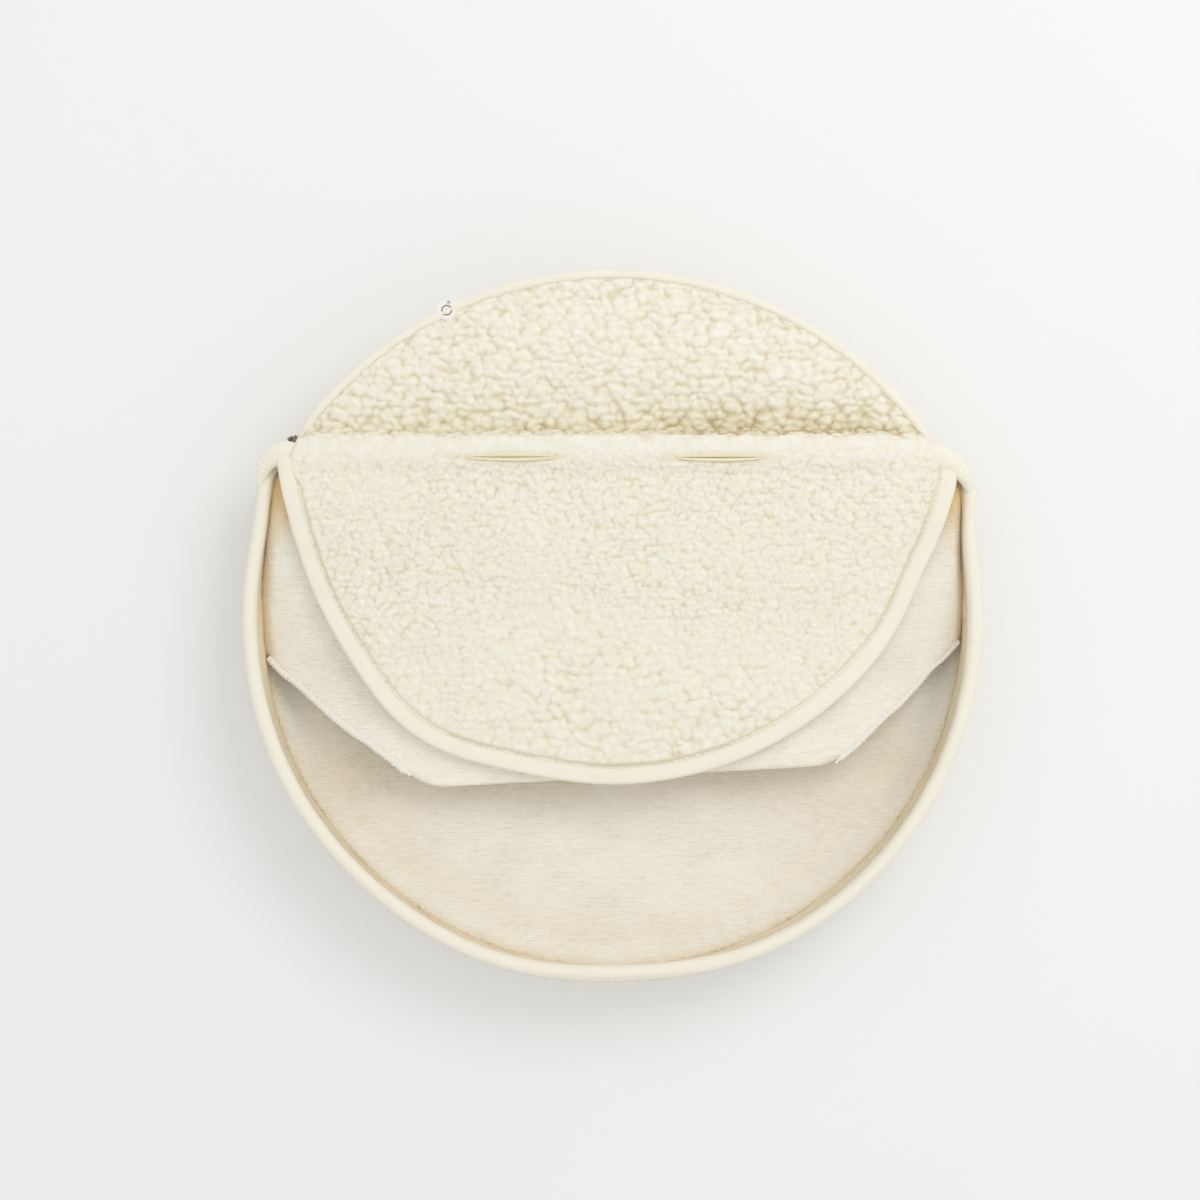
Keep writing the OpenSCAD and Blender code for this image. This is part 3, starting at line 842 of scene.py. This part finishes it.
def crest_wadding():
    """The soft roll that holds the crest up."""
    lo, hi = cad_box("crest_wadding")
    x = np.linspace(lo[0], hi[0], 160)
    radius = 3.5 + 0.2 * wander(x, 14, 31)
    path = np.stack([x, np.full_like(x, (lo[1] + hi[1]) / 2 - 2), crest_top(x) - FLEECE_T - 6.4], 1)
    grow = np.sqrt(np.clip(1 - np.abs(x / hi[0]) ** 18, 0.02, 1))
    return cord("crest_wadding", path, radius * grow, 14, WADDING)


# ---- Floor and wall cloth ----

def base_cloth():
    """The flat cloth underneath, with its seam allowance turned up into the wall's foot."""
    def gap(x, y):
        return ring_gap(x, y, -FOOT_INSET - 0.4)

    x, y, quads, border = sheet_grid(gap, WALL_LO[:2], WALL_HI[:2], 5)
    edge = smooth((gap(x, y) + 7) / 7)
    lift = 0.45 * edge + 0.12 * (noise(x, y, 18, 41) + 1) * edge
    return sheet_piece("base_panel", x, y, 1.25 + lift, lift, quads, border, WALL_COTTON)


def floor_lining(pad):
    """The knit floor, which lies on the swelled pad and runs up into the wall."""
    def gap(x, y):
        return ring_gap(x, y, -WALL_T - 0.2)

    x, y, quads, border = sheet_grid(gap, WALL_LO[:2], WALL_HI[:2], 2.4)
    inside = -gap(x, y)
    level = surface_above(pad, x * 0.985, (y - FRONT_CY) * 0.985 + FRONT_CY, 60)
    level = np.where(np.isnan(level), PAD_TOP, level)
    level = PAD_TOP - 1 + 0.55 * np.clip(level - PAD_TOP + 1, -3, 3)
    rumple = 0.55 * noise(x, y, 34, 42) + 0.25 * noise(x, y, 13, 43)
    top = level + FLOOR_TOP - PAD_TOP + rumple * smooth(inside / 30) + 13 * (1 - smooth(inside / 24)) ** 2.4
    # Painted shade: darker where the floor meets the wall and in a band under the flap's front edge.
    deep = np.maximum(0.42 * smooth((8 - inside) / 9), 0.16 * hump(y, -98, 30, 22))
    return sheet_piece("floor_lining", x, y, top, top - 1.5, quads, border, KNIT, {"deep": deep})


def wall_cloth():
    """The outer wall: padded, a little wrinkled, gathered where the binding ends and seamed at the foot."""
    angle = np.arange(0, 360, 0.36)
    z = np.concatenate([[0.0, 1.2, 2.6, 4.2], np.linspace(6.5, WALL_TOP - 0.6, 26)])
    a, h = np.meshgrid(angle, z, indexing="ij")
    along = np.radians(a) * BED_R
    body = np.sin(np.pi * np.clip((h - 3) / (WALL_TOP - 3), 0, 1))
    corner = hump(a, RIGHT_CORNER, 7) + hump(a, LEFT_CORNER, 6)
    folds = 0.9 * noise(along + 0.35 * h, h * 0.35, 21, 51) + 0.45 * noise(along - 0.2 * h, h * 0.3, 9, 52)
    folds = folds * body
    gathers = 0.55 * np.sin(along / 1.35 + 3 * wander(along, 18, 53)) * smooth((h - 48) / 16)
    gathers = gathers * (0.25 + 0.9 * corner) * smooth((WALL_TOP + 4 - h) / 8)
    seam = -0.9 * hump(h, 3.4, 1.2)
    out = wall_out(h, top_inset(a)) + folds + gathers + seam + 0.4 * body
    return ring_sheet("side_wall", a, h, out, WALL_COTTON)


def inner_wall():
    """The knit lining up the inside of the wall, loose enough to rumple."""
    angle = np.arange(0, 360, 0.5)
    z = [np.linspace(FLOOR_TOP - 2.5, RIM_Z - 10, 13), np.linspace(RIM_Z - 9, WALL_TOP - 1, 11)]
    a, h = np.meshgrid(angle, np.concatenate(z), indexing="ij")
    along = np.radians(a) * BED_R
    body = np.sin(np.pi * np.clip((h - h[0, 0]) / (RIM_Z - RIM_SKIRT - h[0, 0]), 0, 1))
    folds = (1.0 * noise(along + 0.5 * h, h * 0.4, 26, 55) + 0.4 * noise(along, h * 0.6, 10, 56)) * body
    corner = (hump(a, RIGHT_CORNER, 9) + hump(a, LEFT_CORNER, 9)) * smooth((h - 28) / 16)
    out = wall_in(h, top_inset(a)) + WALL_CLOTH + folds - 1.2 * body - 2.0 * corner
    x, y, _ = np.moveaxis(arc_points(a, BED_R, 0, FRONT_CY), -1, 0)
    shelf = np.minimum(panel_top(x * 0.95, y) - 9, RIM_Z - 1.2)
    out -= 4.6 * hump(h, shelf, 6, 1.4) * smooth((y + 5) / 30)

    def deep(p):
        """Painted shade: more under the cover and near the floor."""
        return 0.24 + 0.3 * smooth((p[..., 1] - 15) / 60) + 0.2 * smooth((40 - p[..., 2]) / 16)

    return ring_sheet("wall_lining", a, h, out, SHADED_WALL_KNIT, deep)


# ---- Rim binding ----

RIM_FROM, RIM_TO = 154.5, 360 + 22.5


def rim_binding():
    """Bias binding folded over the wall's top edge, its crown a little uneven and its skirts puckered."""
    angle = np.arange(RIM_FROM, RIM_TO, 0.3)
    along = np.radians(angle) * BED_R
    inset = top_inset(angle)
    ends = span(angle, RIM_FROM, RIM_TO, 4)
    outer, inner = wall_out(RIM_Z, inset) + BINDING_OUT, wall_in(RIM_Z, inset) - BINDING_IN
    crown = (outer + inner) / 2
    half = (outer - inner) / 2 + 0.3 * wander(along, 70, 61) + 0.2 * wander(along, 17, 62)
    rise = 5.2 + 0.5 * wander(along, 55, 63) + 0.2 * wander(along, 14, 64)
    turn = np.radians(np.linspace(-8, 188, 19))
    pucker = 0.22 * np.sin(along / 0.62 + 2 * wander(along, 9, 65))

    def skirt(face, side, thick):
        """Rows of a skirt from its edge up to the crown, on the wall's face."""
        for drop in (RIM_SKIRT, RIM_SKIRT - 1.6, 3.5):
            z = RIM_Z - drop
            lip = (0.45 if drop == RIM_SKIRT else 0) + pucker * (drop > 4)
            yield face(z) + side * (lip - thick), z

    def loop(thick):
        """Outer skirt, crown and inner skirt, thick millimetres inside the binding's face."""
        rows = list(skirt(lambda z: wall_out(z, inset) + BINDING_OUT, 1, thick))
        for t in turn:
            square = abs(math.cos(t)) ** 0.8 * math.copysign(1, math.cos(t))
            rows.append((crown + (half - thick) * square, RIM_Z + (rise - thick) * np.sin(t)))
        return rows + list(skirt(lambda z: wall_in(z, inset) - BINDING_IN, -1, thick))[::-1]

    rows = loop(0) + loop(1.3)[::-1]
    sink = (1 - ends) * 2.5
    points = np.stack([ring_points(angle, off, z - sink) for off, z in rows], 1)
    return folded_strip("rim_binding", points, along, np.arange(len(rows)) * 1.9, COTTON)


def stitches(name, path, length=3.0, gap=1.0, radius=0.32):
    """A row of lock stitches along a path, each a short plump thread."""
    s = lengths(path)
    starts = np.arange(gap, s[-1] - length, length + gap)
    across, up = directions(path, False)
    rings = ((0.0, 0.35), (0.12, 0.9), (0.5, 1.0), (0.88, 0.9), (1.0, 0.35))
    turn = turns(6)[None, :, None]
    blocks = []
    for share, plump in rings:
        at = starts + share * length
        middle, side, top = (np.stack([np.interp(at, s, rows[:, i]) for i in range(3)], 1)[:, None]
                             for rows in (path, across, up))
        middle = middle + top * 0.25 * math.sin(math.pi * share)
        blocks.append(middle + plump * radius * (side * np.cos(turn) + top * np.sin(turn)))
    return new_piece(name, np.stack(blocks, 1), repeated(len(rings), turn.size, len(starts)), THREAD)


def rim_stitching():
    angle = np.arange(RIM_FROM + 1.5, RIM_TO - 1.5, 0.25)
    z = RIM_Z - RIM_SKIRT + 1.7
    outside = ring_points(angle, wall_out(z, top_inset(angle)) + BINDING_OUT + 0.25, z)
    return stitches("rim_stitching", outside)


# ---- Back piping ----

def back_piping():
    """Cotton piping round the back seam, which overhangs the zip, with its cord showing through a little."""
    angle = np.arange(24.5, 154.4, 0.3)
    along = np.radians(angle) * BED_R
    ends = span(angle, 25, 154, 8, 9)
    path = ring_points(angle, -8.6 + 4.4 * ends, np.full_like(angle, WALL_TOP + 3.4))
    radius = 3.4 + 0.15 * wander(along, 16, 71) + 0.07 * np.sin(along / 0.9)
    taper = np.sqrt(span(angle, 24, 155, 4))
    return cord("back_piping", path, radius * np.maximum(taper, 0.75), 16, COTTON)


# ---- Fleece cover ----

def tufts(x, y, width, height, seed, merge=24):
    """Soft domes round scattered points, from about 0 to 1; uneven heights let neighbours run together."""
    u, v = x / width, y / height
    iv = np.floor(v)
    total = np.zeros(u.shape)
    for dv in (-1, 0, 1):
        cv = iv + dv
        shift = 0.5 * np.mod(cv, 2)
        iu = np.floor(u - shift)
        for du in (-1, 0, 1):
            cu = iu + du
            px = shift + cu + 0.2 + 0.6 * hashed(cu, cv, seed)
            py = cv + 0.2 + 0.6 * hashed(cu, cv, seed + 1)
            tall = 0.2 * hashed(cu, cv, seed + 2)
            total += np.exp(merge * (tall - 0.9 * ((u - px) ** 2 + (v - py) ** 2)))
    return np.clip((np.log(total) / merge + 0.31) / 0.51, 0, 1.1)


def curls(x, y, width, height, seed):
    """Curly pile: twisted tufts of two sizes, parted here and there by short wandering furrows."""
    wx = x + 2.3 * noise(x, y, 12, seed) + 1.1 * noise(x, y, 5, seed + 1)
    wy = y + 2.3 * noise(x, y, 12, seed + 2) + 1.1 * noise(x, y, 5, seed + 3)
    big = tufts(wx, wy, width, height, seed + 4)
    small = tufts(wx + 1.7, wy - 0.9, width * 0.5, height * 0.5, seed + 9, 14)
    furrow = np.clip(1 - np.abs(noise(wx, wy, width * 1.25, seed + 12)) / 0.11, 0, 1)
    furrow *= smooth(0.5 + 1.4 * noise(x, y, width * 2.2, seed + 13))
    return np.clip(0.74 * big + 0.26 * small - 0.14 * furrow + 0.04, 0, 1.1)


def pile_height(x, y):
    """Pile over the whole cover: coarse tufts behind the crest and low on the flap, finer ones between."""
    back = curls(x, y, 7.0, 5.5, 101)
    fine = curls(x, y, 4.3, 4.0, 131)
    coarse = curls(x, y, 6.6, 6.2, 161)
    low = smooth((28 - y) / 70) * hump(x, 15, 150)
    patch = np.clip(low + 0.35 * noise(x, y, 48, 171), 0, 1)
    flap = fine + (coarse - fine) * patch
    return flap + (back - flap) * smooth((y - 118) / 12)


def crest_shade(x, y):
    """Painted shade for the fold behind the crest: how deep it is shut in, from 0 to 1, most on the right.
    """
    deep = 0.62 + 0.38 * smooth((x + 40) / 130) - 0.25 * smooth((np.abs(x) - 150) / 50)
    return deep * smooth((y - CREST_Y - 0.5) / 5) * np.exp(-np.maximum(y - CREST_Y - 6, 0) / 12)


def sherpa_cover():
    """One piece of fleece from the zip over the crest to the flap's edge, cut by two strap slits."""
    x, y, quads, border = sheet_grid(cover_gap, (-236, -106), (240, 270), 1.0, rolled)
    inside = -cover_gap(x, y)
    base = fleece_top(x, y)
    pile = pile_height(x, unrolled(x, y))
    slope = np.clip((fleece_top(x, y + 0.3) - fleece_top(x, y - 0.3)) / 0.6, -6, 6)
    steep = np.sqrt(1 + slope**2)
    depth = 2.3 + 1.2 * smooth((y - 122) / 12) + 0.5 * smooth((10 - y) / 50)
    flat = 1 - 0.72 * hump(y, 119.5, 8, 7)
    sewn = 1 - 0.9 * smooth((y - 108) / 14)
    tuck = smooth((inside + 0.4) / 4.2)
    # The crease pushes the pile down and also paints shade into the colour along the fleece's edge by the
    # binding.
    crease = 1 - 0.85 * hump(inside, 1.7, 2.4, 1.3) * sewn
    rise = depth * flat * (pile - 0.62) * crease - 1.6 * (1 - tuck) * sewn
    # Painted light in the pile field: shade in the creases and along the binding's ditch, a lighter colour
    # on the pressed strip at the crest, and painted shade in the fold behind it.
    shade = (pile + 0.30 * (1 - flat)) * crease - 0.75 * crest_shade(x, y)
    over = 2.4 * hump(y, CREST_Y - 0.5, 5, 1.6) * side_fade(x)
    fringe = 0.9 * noise(x, y, 4.3, 191) * hump(y, CREST_Y, 3, 1.6)
    return sheet_piece("sherpa_cover", x, y + over + fringe, base + rise / steep, base - FLEECE_T,
                       quads, border, FLEECE, {"pile": shade}, -slope / steep * rise)


def lens_path(middle, length, width, count):
    """Closed path round a slit, anticlockwise, on the fleece."""
    r = (length**2 + width**2) / (4 * width)
    reach = math.asin(length / 2 / r)
    t = np.linspace(-reach, reach, count, endpoint=False)
    lower = np.stack([r * np.sin(t), -r * np.cos(t) + r - width / 2], 1)
    both = np.concatenate([lower, -lower])
    x, y = both[:, 0] + middle[0], both[:, 1] + middle[1]
    return np.stack([x, y, fleece_top(x, y)], 1)


def slit_facing(name, middle):
    """The facing cloth: a narrow lip round the slit, and two walls that lean together through the fleece."""
    path = lens_path(middle, SLIT_L + 0.8, SLIT_W + 0.8, 48)
    half = np.abs(path[:, 1] - middle[1])[:, None]
    shape = np.array([(1.1, -1.2), (1.2, -0.3), (0.8, 0.2), (0.3, 0.15), (-0.2, -0.3), (-0.1, -1.2),
                      (-0.1, -2.8), (0.5, -3.6), (0.9, -2.0), (0.9, -0.8)])
    lean = np.array([0, 0, 0, 0, 0.2, 0.8, 0.93, 0.6, 0.3, 0])
    section = np.repeat(shape[None], len(path), 0)
    section[..., 0] -= lean[None] * half
    return sweep(name, path, section, SHADED_FACING, closed=True)


# ---- Flap binding ----

FLAP_FROM, FLAP_TO = 181.2, 355.6


def flap_line(inset, lift, step, start, end):
    """Points along the flap's edge at a distance inside it."""
    angle = np.arange(start, end, step)
    line = arc_points(angle, flap_radius(angle) - inset, lift, FLAP_CY)
    line[:, 2] += fleece_top(np.clip(line[:, 0], -SIDE_REACH, SIDE_REACH), line[:, 1])
    return line


def binding_line():
    """The binding's middle line, which ends by running over the corner and down behind it."""
    line = flap_line(BINDING_W / 2, -FLEECE_T / 2 + 0.2, 0.25, FLAP_FROM + 2.2, FLAP_TO - 2)
    leads = []
    for at, tip in ((line[0], (-216.5, 125.5)), (line[-1], (221.5, 119))):
        t = np.linspace(0, 1, 34)[1:]
        x = at[0] + (tip[0] - at[0]) * t**2.2
        y = at[1] + (tip[1] - at[1]) * t
        z = at[2] + (FOLD_END_Z - 3 - at[2]) * smooth(t * 1.4) - 7 * smooth((t - 0.72) / 0.28)
        leads.append(np.stack([x, y, z], 1))
    return np.concatenate([leads[0][::-1], line, leads[1]])


def flap_binding():
    """Binding round the flap: a flat band with a soft roll at its edge and a ditch along its stitches."""
    path = binding_line()
    s = lengths(path)
    half = BINDING_W / 2
    inner = [(0, -2.2), (-0.15, 0.2), (-0.05, 2.0), (0.5, 2.5), (1.2, 2.2), (1.9, 1.95), (2.8, 2.55),
             (4.2, 2.8), (6, 2.85)]
    outer = [(-5, 2.8), (-2.6, 2.65), (-1.1, 2.2), (-0.3, 1.3), (0, 0), (-0.4, -1.4), (-1.4, -2.3),
             (-3.4, -2.8), (-half, -3.0), (2 - BINDING_W, -2.7)]
    shape = np.concatenate([np.array(inner) - [half, 0], np.array(outer) + [half, 0]])
    pucker = 0.2 * np.sin(s / 0.62 + 2.5 * wander(s, 8, 81)) * smooth(s / 6)
    wave = 0.35 * wander(s, 46, 82) + 0.15 * wander(s, 15, 83)
    wide = 1 + 0.05 * wander(s, 60, 84) + 0.02 * wander(s, 13, 85)
    section = np.repeat(shape[None], len(path), 0)
    near_ditch = hump(shape[:, 0], 1.6 - half, 1.6)
    section[..., 1] += (pucker[:, None] * near_ditch[None] + wave[:, None]) * (shape[:, 1] > 0)[None]
    section[..., 0] *= wide[:, None]
    section *= np.sqrt(np.clip(np.minimum(s, s[-1] - s) / 5, 0.1, 1))[:, None, None]
    return sweep("flap_binding", path, section, COTTON)


def flap_stitching():
    path = flap_line(BINDING_W - 1.75, -0.62, 0.2, FLAP_FROM + 1.2, FLAP_TO - 1.2)
    return stitches("flap_stitching", path)


# ---- Corners ----

CORNERS = {
    -1: [(-204, 118, 78), (-211.5, 119, 79.2), (-220, 118.5, 78.4), (-227.5, 116, 76.2), (-233, 110.5, 73.2),
         (-236, 103, 70.3), (-237.8, 95, 67.5)],
    1: [(203, 130.5, 75), (206, 123, 76.8), (214, 117.3, 79.6), (222, 114.5, 79), (229.5, 109.5, 77.2),
        (235.5, 103.5, 74.3), (239, 97, 71), (241, 90, 67.5)],
}


def corner_tuck(name, side):
    """Where rim, flap and cover meet: a smooth cap of binding, gathered in small pleats by the rim."""
    knots = np.array(CORNERS[side], float)
    s = lengths(knots)
    at = np.linspace(0, s[-1], 110)
    path = np.stack([smooth_curve(s, knots[:, i], at) for i in range(3)], 1)
    share = at / s[-1]
    ends = np.clip(np.sin(np.pi * np.clip(share, 0.01, 0.99)), 0, 1) ** 0.45
    wide = np.interp(share, [0, 0.3, 0.6, 1], [7.6, 8.0, 6.6, 5.1])
    thick = np.interp(share, [0, 0.5, 1], [3.4, 4.2, 4.6])
    t = turns(40)[None]
    gathered = span(share, 0.5, 0.86, 0.12, 0.1)
    outside = 0.35 + 0.65 * (0.5 - 0.5 * np.cos(t) * side)
    pleat = 0.42 * np.sin(2 * np.pi * at[:, None] / 3.6 + 0.8 * np.cos(t)) * gathered[:, None] * outside
    soft = 0.25 * noise(at[:, None] + 0 * t, 9 * np.cos(t) + 0 * at[:, None], 6, 91)
    r = (1 + (pleat + soft) / 6) * ends[:, None]
    deep = np.where(np.sin(t) < 0, 2.3, 1)
    section = np.stack([wide[:, None] * np.cos(t) * r, thick[:, None] * np.sin(t) * deep * r], -1)
    return sweep(name, path, section, COTTON)


def smooth_curve(s, values, at):
    """A Catmull-Rom curve through values at places s."""
    i = np.clip(np.searchsorted(s, at, side="right") - 1, 0, len(s) - 2)
    padded = np.concatenate([[2 * values[0] - values[1]], values, [2 * values[-1] - values[-2]]])
    t = (at - s[i]) / (s[i + 1] - s[i])
    a, b, c, d = padded[i], padded[i + 1], padded[i + 2], padded[i + 3]
    return 0.5 * (2 * b + (c - a) * t + (2 * a - 5 * b + 4 * c - d) * t**2 + (3 * b - 3 * c + d - a) * t**3)


# ---- Lining panel ----

def lining_panel():
    """Two layers of knit, folded at the front, that hang under the flap."""
    x, y, quads, border = sheet_grid(panel_gap, (-240, -112), (242, 116), 1.8)
    inside = -panel_gap(x, y)
    edge = smooth((inside + 0.2) / 3.2)
    top = panel_top(x, y)
    soft = 0.45 * noise(x, y, 9, 95)
    tucked = smooth(1 + ring_gap(x, y, -PANEL_REACH) / np.where(x < 0, 8.5, 5.5))
    top = top - 3.6 * tucked
    # Painted shade: a warm dark tone on the edges tucked down by the rim, and towards the back near the rim.
    deep = np.maximum(0.62 * tucked, smooth((y - 45) / 50) * smooth((ring_gap(x, y, -24) + 14) / 16))
    return sheet_piece("lining_panel", x, y, top - 1.3 * (1 - edge) + soft * edge,
                       top - PANEL_T + 1.2 * (1 - edge), quads, border, KNIT, {"deep": deep})


def panel_edge(name, side):
    """The overlocked edge: a wavy roll wrapped in thread, thicker on the left."""
    tip, corner = PANEL_CORNERS[side]
    radius = 2.3 if side < 0 else 1.6
    share = np.linspace(0.01, 1.02, 420)
    bow = edge_bow(share, side)
    slope = np.array([corner[1] - tip[1], -(corner[0] - tip[0])], float)
    slope *= -side / np.linalg.norm(slope)
    x = tip[0] + (corner[0] - tip[0]) * share + slope[0] * bow
    y = tip[1] + (corner[1] - tip[1]) * share + slope[1] * bow
    z = panel_top(x, y) - PANEL_T / 2 + 0.6 + 0.3 * wander(share * 120, 10, 97)
    path = np.stack([x, y, z], 1)
    s, t = lengths(path)[:, None], turns(14)[None]
    wrap = 0.24 * np.sin(2 * np.pi * s / 1.7 + t)
    knots = 0.15 * np.sin(2 * np.pi * s / 3.4) * (np.cos(t) > 0)
    r = radius + wrap + knots + 0.2 * wander(s, 12, 98)
    r = r * np.sqrt(np.clip(np.sin(np.pi * share) * 12, 0.25, 1))[:, None]
    return sweep(name, path, np.stack([1.15 * r * np.cos(t), r * np.sin(t)], -1), THREAD)


# ---- Zip ----

ZIP_Z = joint("zip_run")["pos_m"][2] / MM
COIL_R = 0.9
TAPE_W, TAPE_T = 5, 0.8
ZIP_FROM = 31.2


def zip_tape(name, side):
    """One woven tape of the zip, its outer edge a little wavy; side is 1 above the teeth."""
    angle = np.arange(ZIP_FROM, 180 - ZIP_FROM, 0.25)
    z = np.linspace(*sorted((ZIP_Z + side * 0.1, ZIP_Z + side * TAPE_W)), 7)
    face = BACK_R + wall_out(z) + 0.9
    wave = 0.12 * wander(angle * 4.5, 12, 111)
    outer = [arc_points(angle, f + wave + 0.05, h, BACK_CY) for f, h in zip(face, z)]
    inner = [arc_points(angle, f - TAPE_T, h, BACK_CY) for f, h in zip(face[::-1], z[::-1])]
    points = np.stack(outer + inner, 1)
    return folded_strip(name, points, np.radians(angle) * BACK_R, np.concatenate([z, z[::-1]]), TAPE)


def zip_coil(name, side):
    """One nylon coil: a row of bent teeth that reach past the middle between the other side's teeth."""
    line = BACK_R + wall_out(ZIP_Z - COIL_R) + 0.85 + COIL_R
    pitch = math.degrees(1.35 / line)
    count = int((180 - 2 * ZIP_FROM - 2) / pitch)
    start = ZIP_FROM + 1 + (0 if side > 0 else pitch / 2)
    angle = start + np.arange(count)[:, None] * pitch
    thick = 0.40 * np.array([0.7, 1, 1, 1, 1, 1.1, 0.8])
    turn = turns(6)[None]
    blocks = []
    for bend, w in zip(np.linspace(0, np.pi, len(thick)), thick):
        spin = math.degrees(1 / line) * w * np.cos(turn)
        r = line - 0.35 + 0.62 * math.sin(bend) + w * np.sin(turn) * math.sin(bend)
        z = ZIP_Z + side * (0.42 + (0.62 + w * np.sin(turn)) * math.cos(bend))
        blocks.append(arc_points(angle + spin, r, z, BACK_CY))
    return face_out(new_piece(name, np.stack(blocks, 1), repeated(len(thick), turn.size, count), COIL))


# ---- Label ----

def label():
    """A plain round woven tab with a stitched edge, one embroidered ring and an eyelet."""
    lo, hi = cad_box("woven_label")
    middle = (lo + hi) / 2
    out = np.array([middle[0], middle[1] - BACK_CY, 0.0])
    out /= np.linalg.norm(out)
    side = np.cross([0, 0, 1.0], out)
    tilt = math.radians(12)
    out = out * math.cos(tilt) - np.array([0, 0, math.sin(tilt)])
    up = np.cross(out, side)

    def circle(a, radius, height=0.62, centre=(0, 0)):
        """Points round a circle on the tab, which curls down a little, and their places on it."""
        flat = np.stack([centre[0] + radius * np.cos(a), centre[1] + radius * np.sin(a), 0 * a], 1)
        lift = height - 0.012 * flat[:, :1] ** 2
        return middle + flat[:, :1] * out + flat[:, 1:2] * side + lift * up, flat

    radii = [(0.0, 0.42), (3, 0.45), (5.4, 0.45), (6.3, 0.62), (7.0, 0.5), (7.25, 0.0), (7.0, -0.5),
             (0.0, -0.45)]
    points, cloth = (np.concatenate(rows) for rows in zip(*(circle(turns(72), *row) for row in radii)))
    tab = new_piece("woven_label", points, [grid_faces(len(radii), 72, False, True)], LABEL, cloth)

    def hoop(name, radius, centre, thick, count):
        a = turns(count)
        ripple = thick * (1 + 0.18 * np.sin(a * count / 4))
        return cord(name, circle(a, radius, centre=centre)[0], ripple, 8, MARK, closed=True)

    edge = circle(np.linspace(0, 2 * np.pi, 200), 6.25)[0]
    return tab, [hoop("label_ring", 3.3, (-0.6, 0.0), 0.34, 96),
                 hoop("label_eyelet", 0.75, (3.9, -3.6), 0.2, 32),
                 stitches("label_stitching", edge, 1.5, 0.7, 0.16)]


# ---- Stage ----

def stage():
    """Pale floor, soft light from the upper right, and a camera straight above."""
    half, under = 6.0, 0.25
    corners = np.array([(-1, -1, 0), (1, -1, 0), (1, 1, 0), (-1, 1, 0)]) * half / MM
    floor = new_piece("floor", corners - [0, 0, under], [[[0, 1, 2, 3]]], floor_material())

    world = bpy.data.worlds.new("studio")
    bpy.context.scene.world = world
    world.use_nodes = True
    world.node_tree.nodes["Background"].inputs["Color"].default_value = (1.0, 1.0, 1.0, 1)
    world.node_tree.nodes["Background"].inputs["Strength"].default_value = 0.87

    lamp("key", (1.0, 1.15, 1.9), 1.3, 12.5)

    lens, sensor, width, rim_height = 95, 36, 0.8075, 0.07
    data = bpy.data.cameras.new("camera")
    data.lens = lens
    data.sensor_width = sensor
    data.clip_end = 50
    camera = bpy.data.objects.new("camera", data)
    camera.location = (-0.0084, 0.0197, rim_height + width * lens / sensor)
    bpy.context.scene.collection.objects.link(camera)
    bpy.context.scene.camera = camera
    bpy.context.scene.view_settings.view_transform = "Standard"


def lamp(name, place, size, power):
    data = bpy.data.lights.new(name, "AREA")
    data.shape = "DISK"
    data.size = size
    data.energy = power
    light = bpy.data.objects.new(name, data)
    light.location = place
    light.rotation_mode = "QUATERNION"
    light.rotation_quaternion = (Vector((0, 0, 0.05)) - Vector(place)).to_track_quat("-Z", "Y")
    bpy.context.scene.collection.objects.link(light)


def floor_material():
    m = Cloth("studio_floor", Roughness=0.7, on_cloth=False, Specular_IOR_Level=0.2)
    cloudy = m.noise(0.002, 2)
    colour = m.colours(cloudy, (0.3, (0.86, 0.86, 0.863)), (0.7, (0.87, 0.87, 0.872)))
    return m.finish(colour, m.noise(0.8, 2), 0.02, 0.05)


# ---- Assembly ----

def on_body(obj, body, nodes=None):
    """Renames a piece as a look, hides the CAD nodes it stands for, its own by default, and hangs it on its
    body; pieces for the flap and the panel only have their place baked in.
    """
    name = obj.name.split(".")[0]
    obj.name = name + "_look"
    nodes = [name] if nodes is None else nodes
    if nodes:
        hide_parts(*nodes)
    if body in ("flap", "panel"):
        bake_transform(obj)
    else:
        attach(obj, body)
    return obj


SIDES = (("left", -1), ("right", 1))
LEVELS = (("lower", -1), ("upper", 1))

stage()

pad = on_body(base_pad(), "bed")
wadding = on_body(wall_padding(), "bed")
roll = on_body(crest_wadding(), "bed")
base = on_body(base_cloth(), "bed")
floor_cloth = on_body(floor_lining(pad), "bed")
wall = on_body(wall_cloth(), "bed")
lining = on_body(inner_wall(), "bed")
rim = on_body(rim_binding(), "bed")
rim_thread = on_body(rim_stitching(), "bed")
piping = on_body(back_piping(), "bed")

cover = on_body(sherpa_cover(), "flap", ["back_cover", "flap_cover"])
facings = [on_body(slit_facing(f"slit_facing_{word}", middle), "bed")
           for (word, _), middle in zip(SIDES, SLITS)]
binding = on_body(flap_binding(), "flap")
flap_thread = on_body(flap_stitching(), "flap")
tucks = [on_body(corner_tuck(f"corner_tuck_{word}", side), "bed") for word, side in SIDES]

panel = on_body(lining_panel(), "panel")
edges = [on_body(panel_edge(f"panel_edge_{word}", side), "panel") for word, side in SIDES]

tapes = [on_body(zip_tape(f"zip_tape_{word}", side), "bed") for word, side in LEVELS]
for word, side in LEVELS:
    on_body(zip_coil(f"zip_coil_{word}", side), "bed")
for part in ("zip_stops", "zip_slider", "zip_puller"):
    for material_slot in frame["nodes"][part].material_slots:
        material_slot.material = METAL

tab, marks = label()
on_body(tab, "bed")
for mark in marks:
    on_body(mark, "bed", [])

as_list(marks)
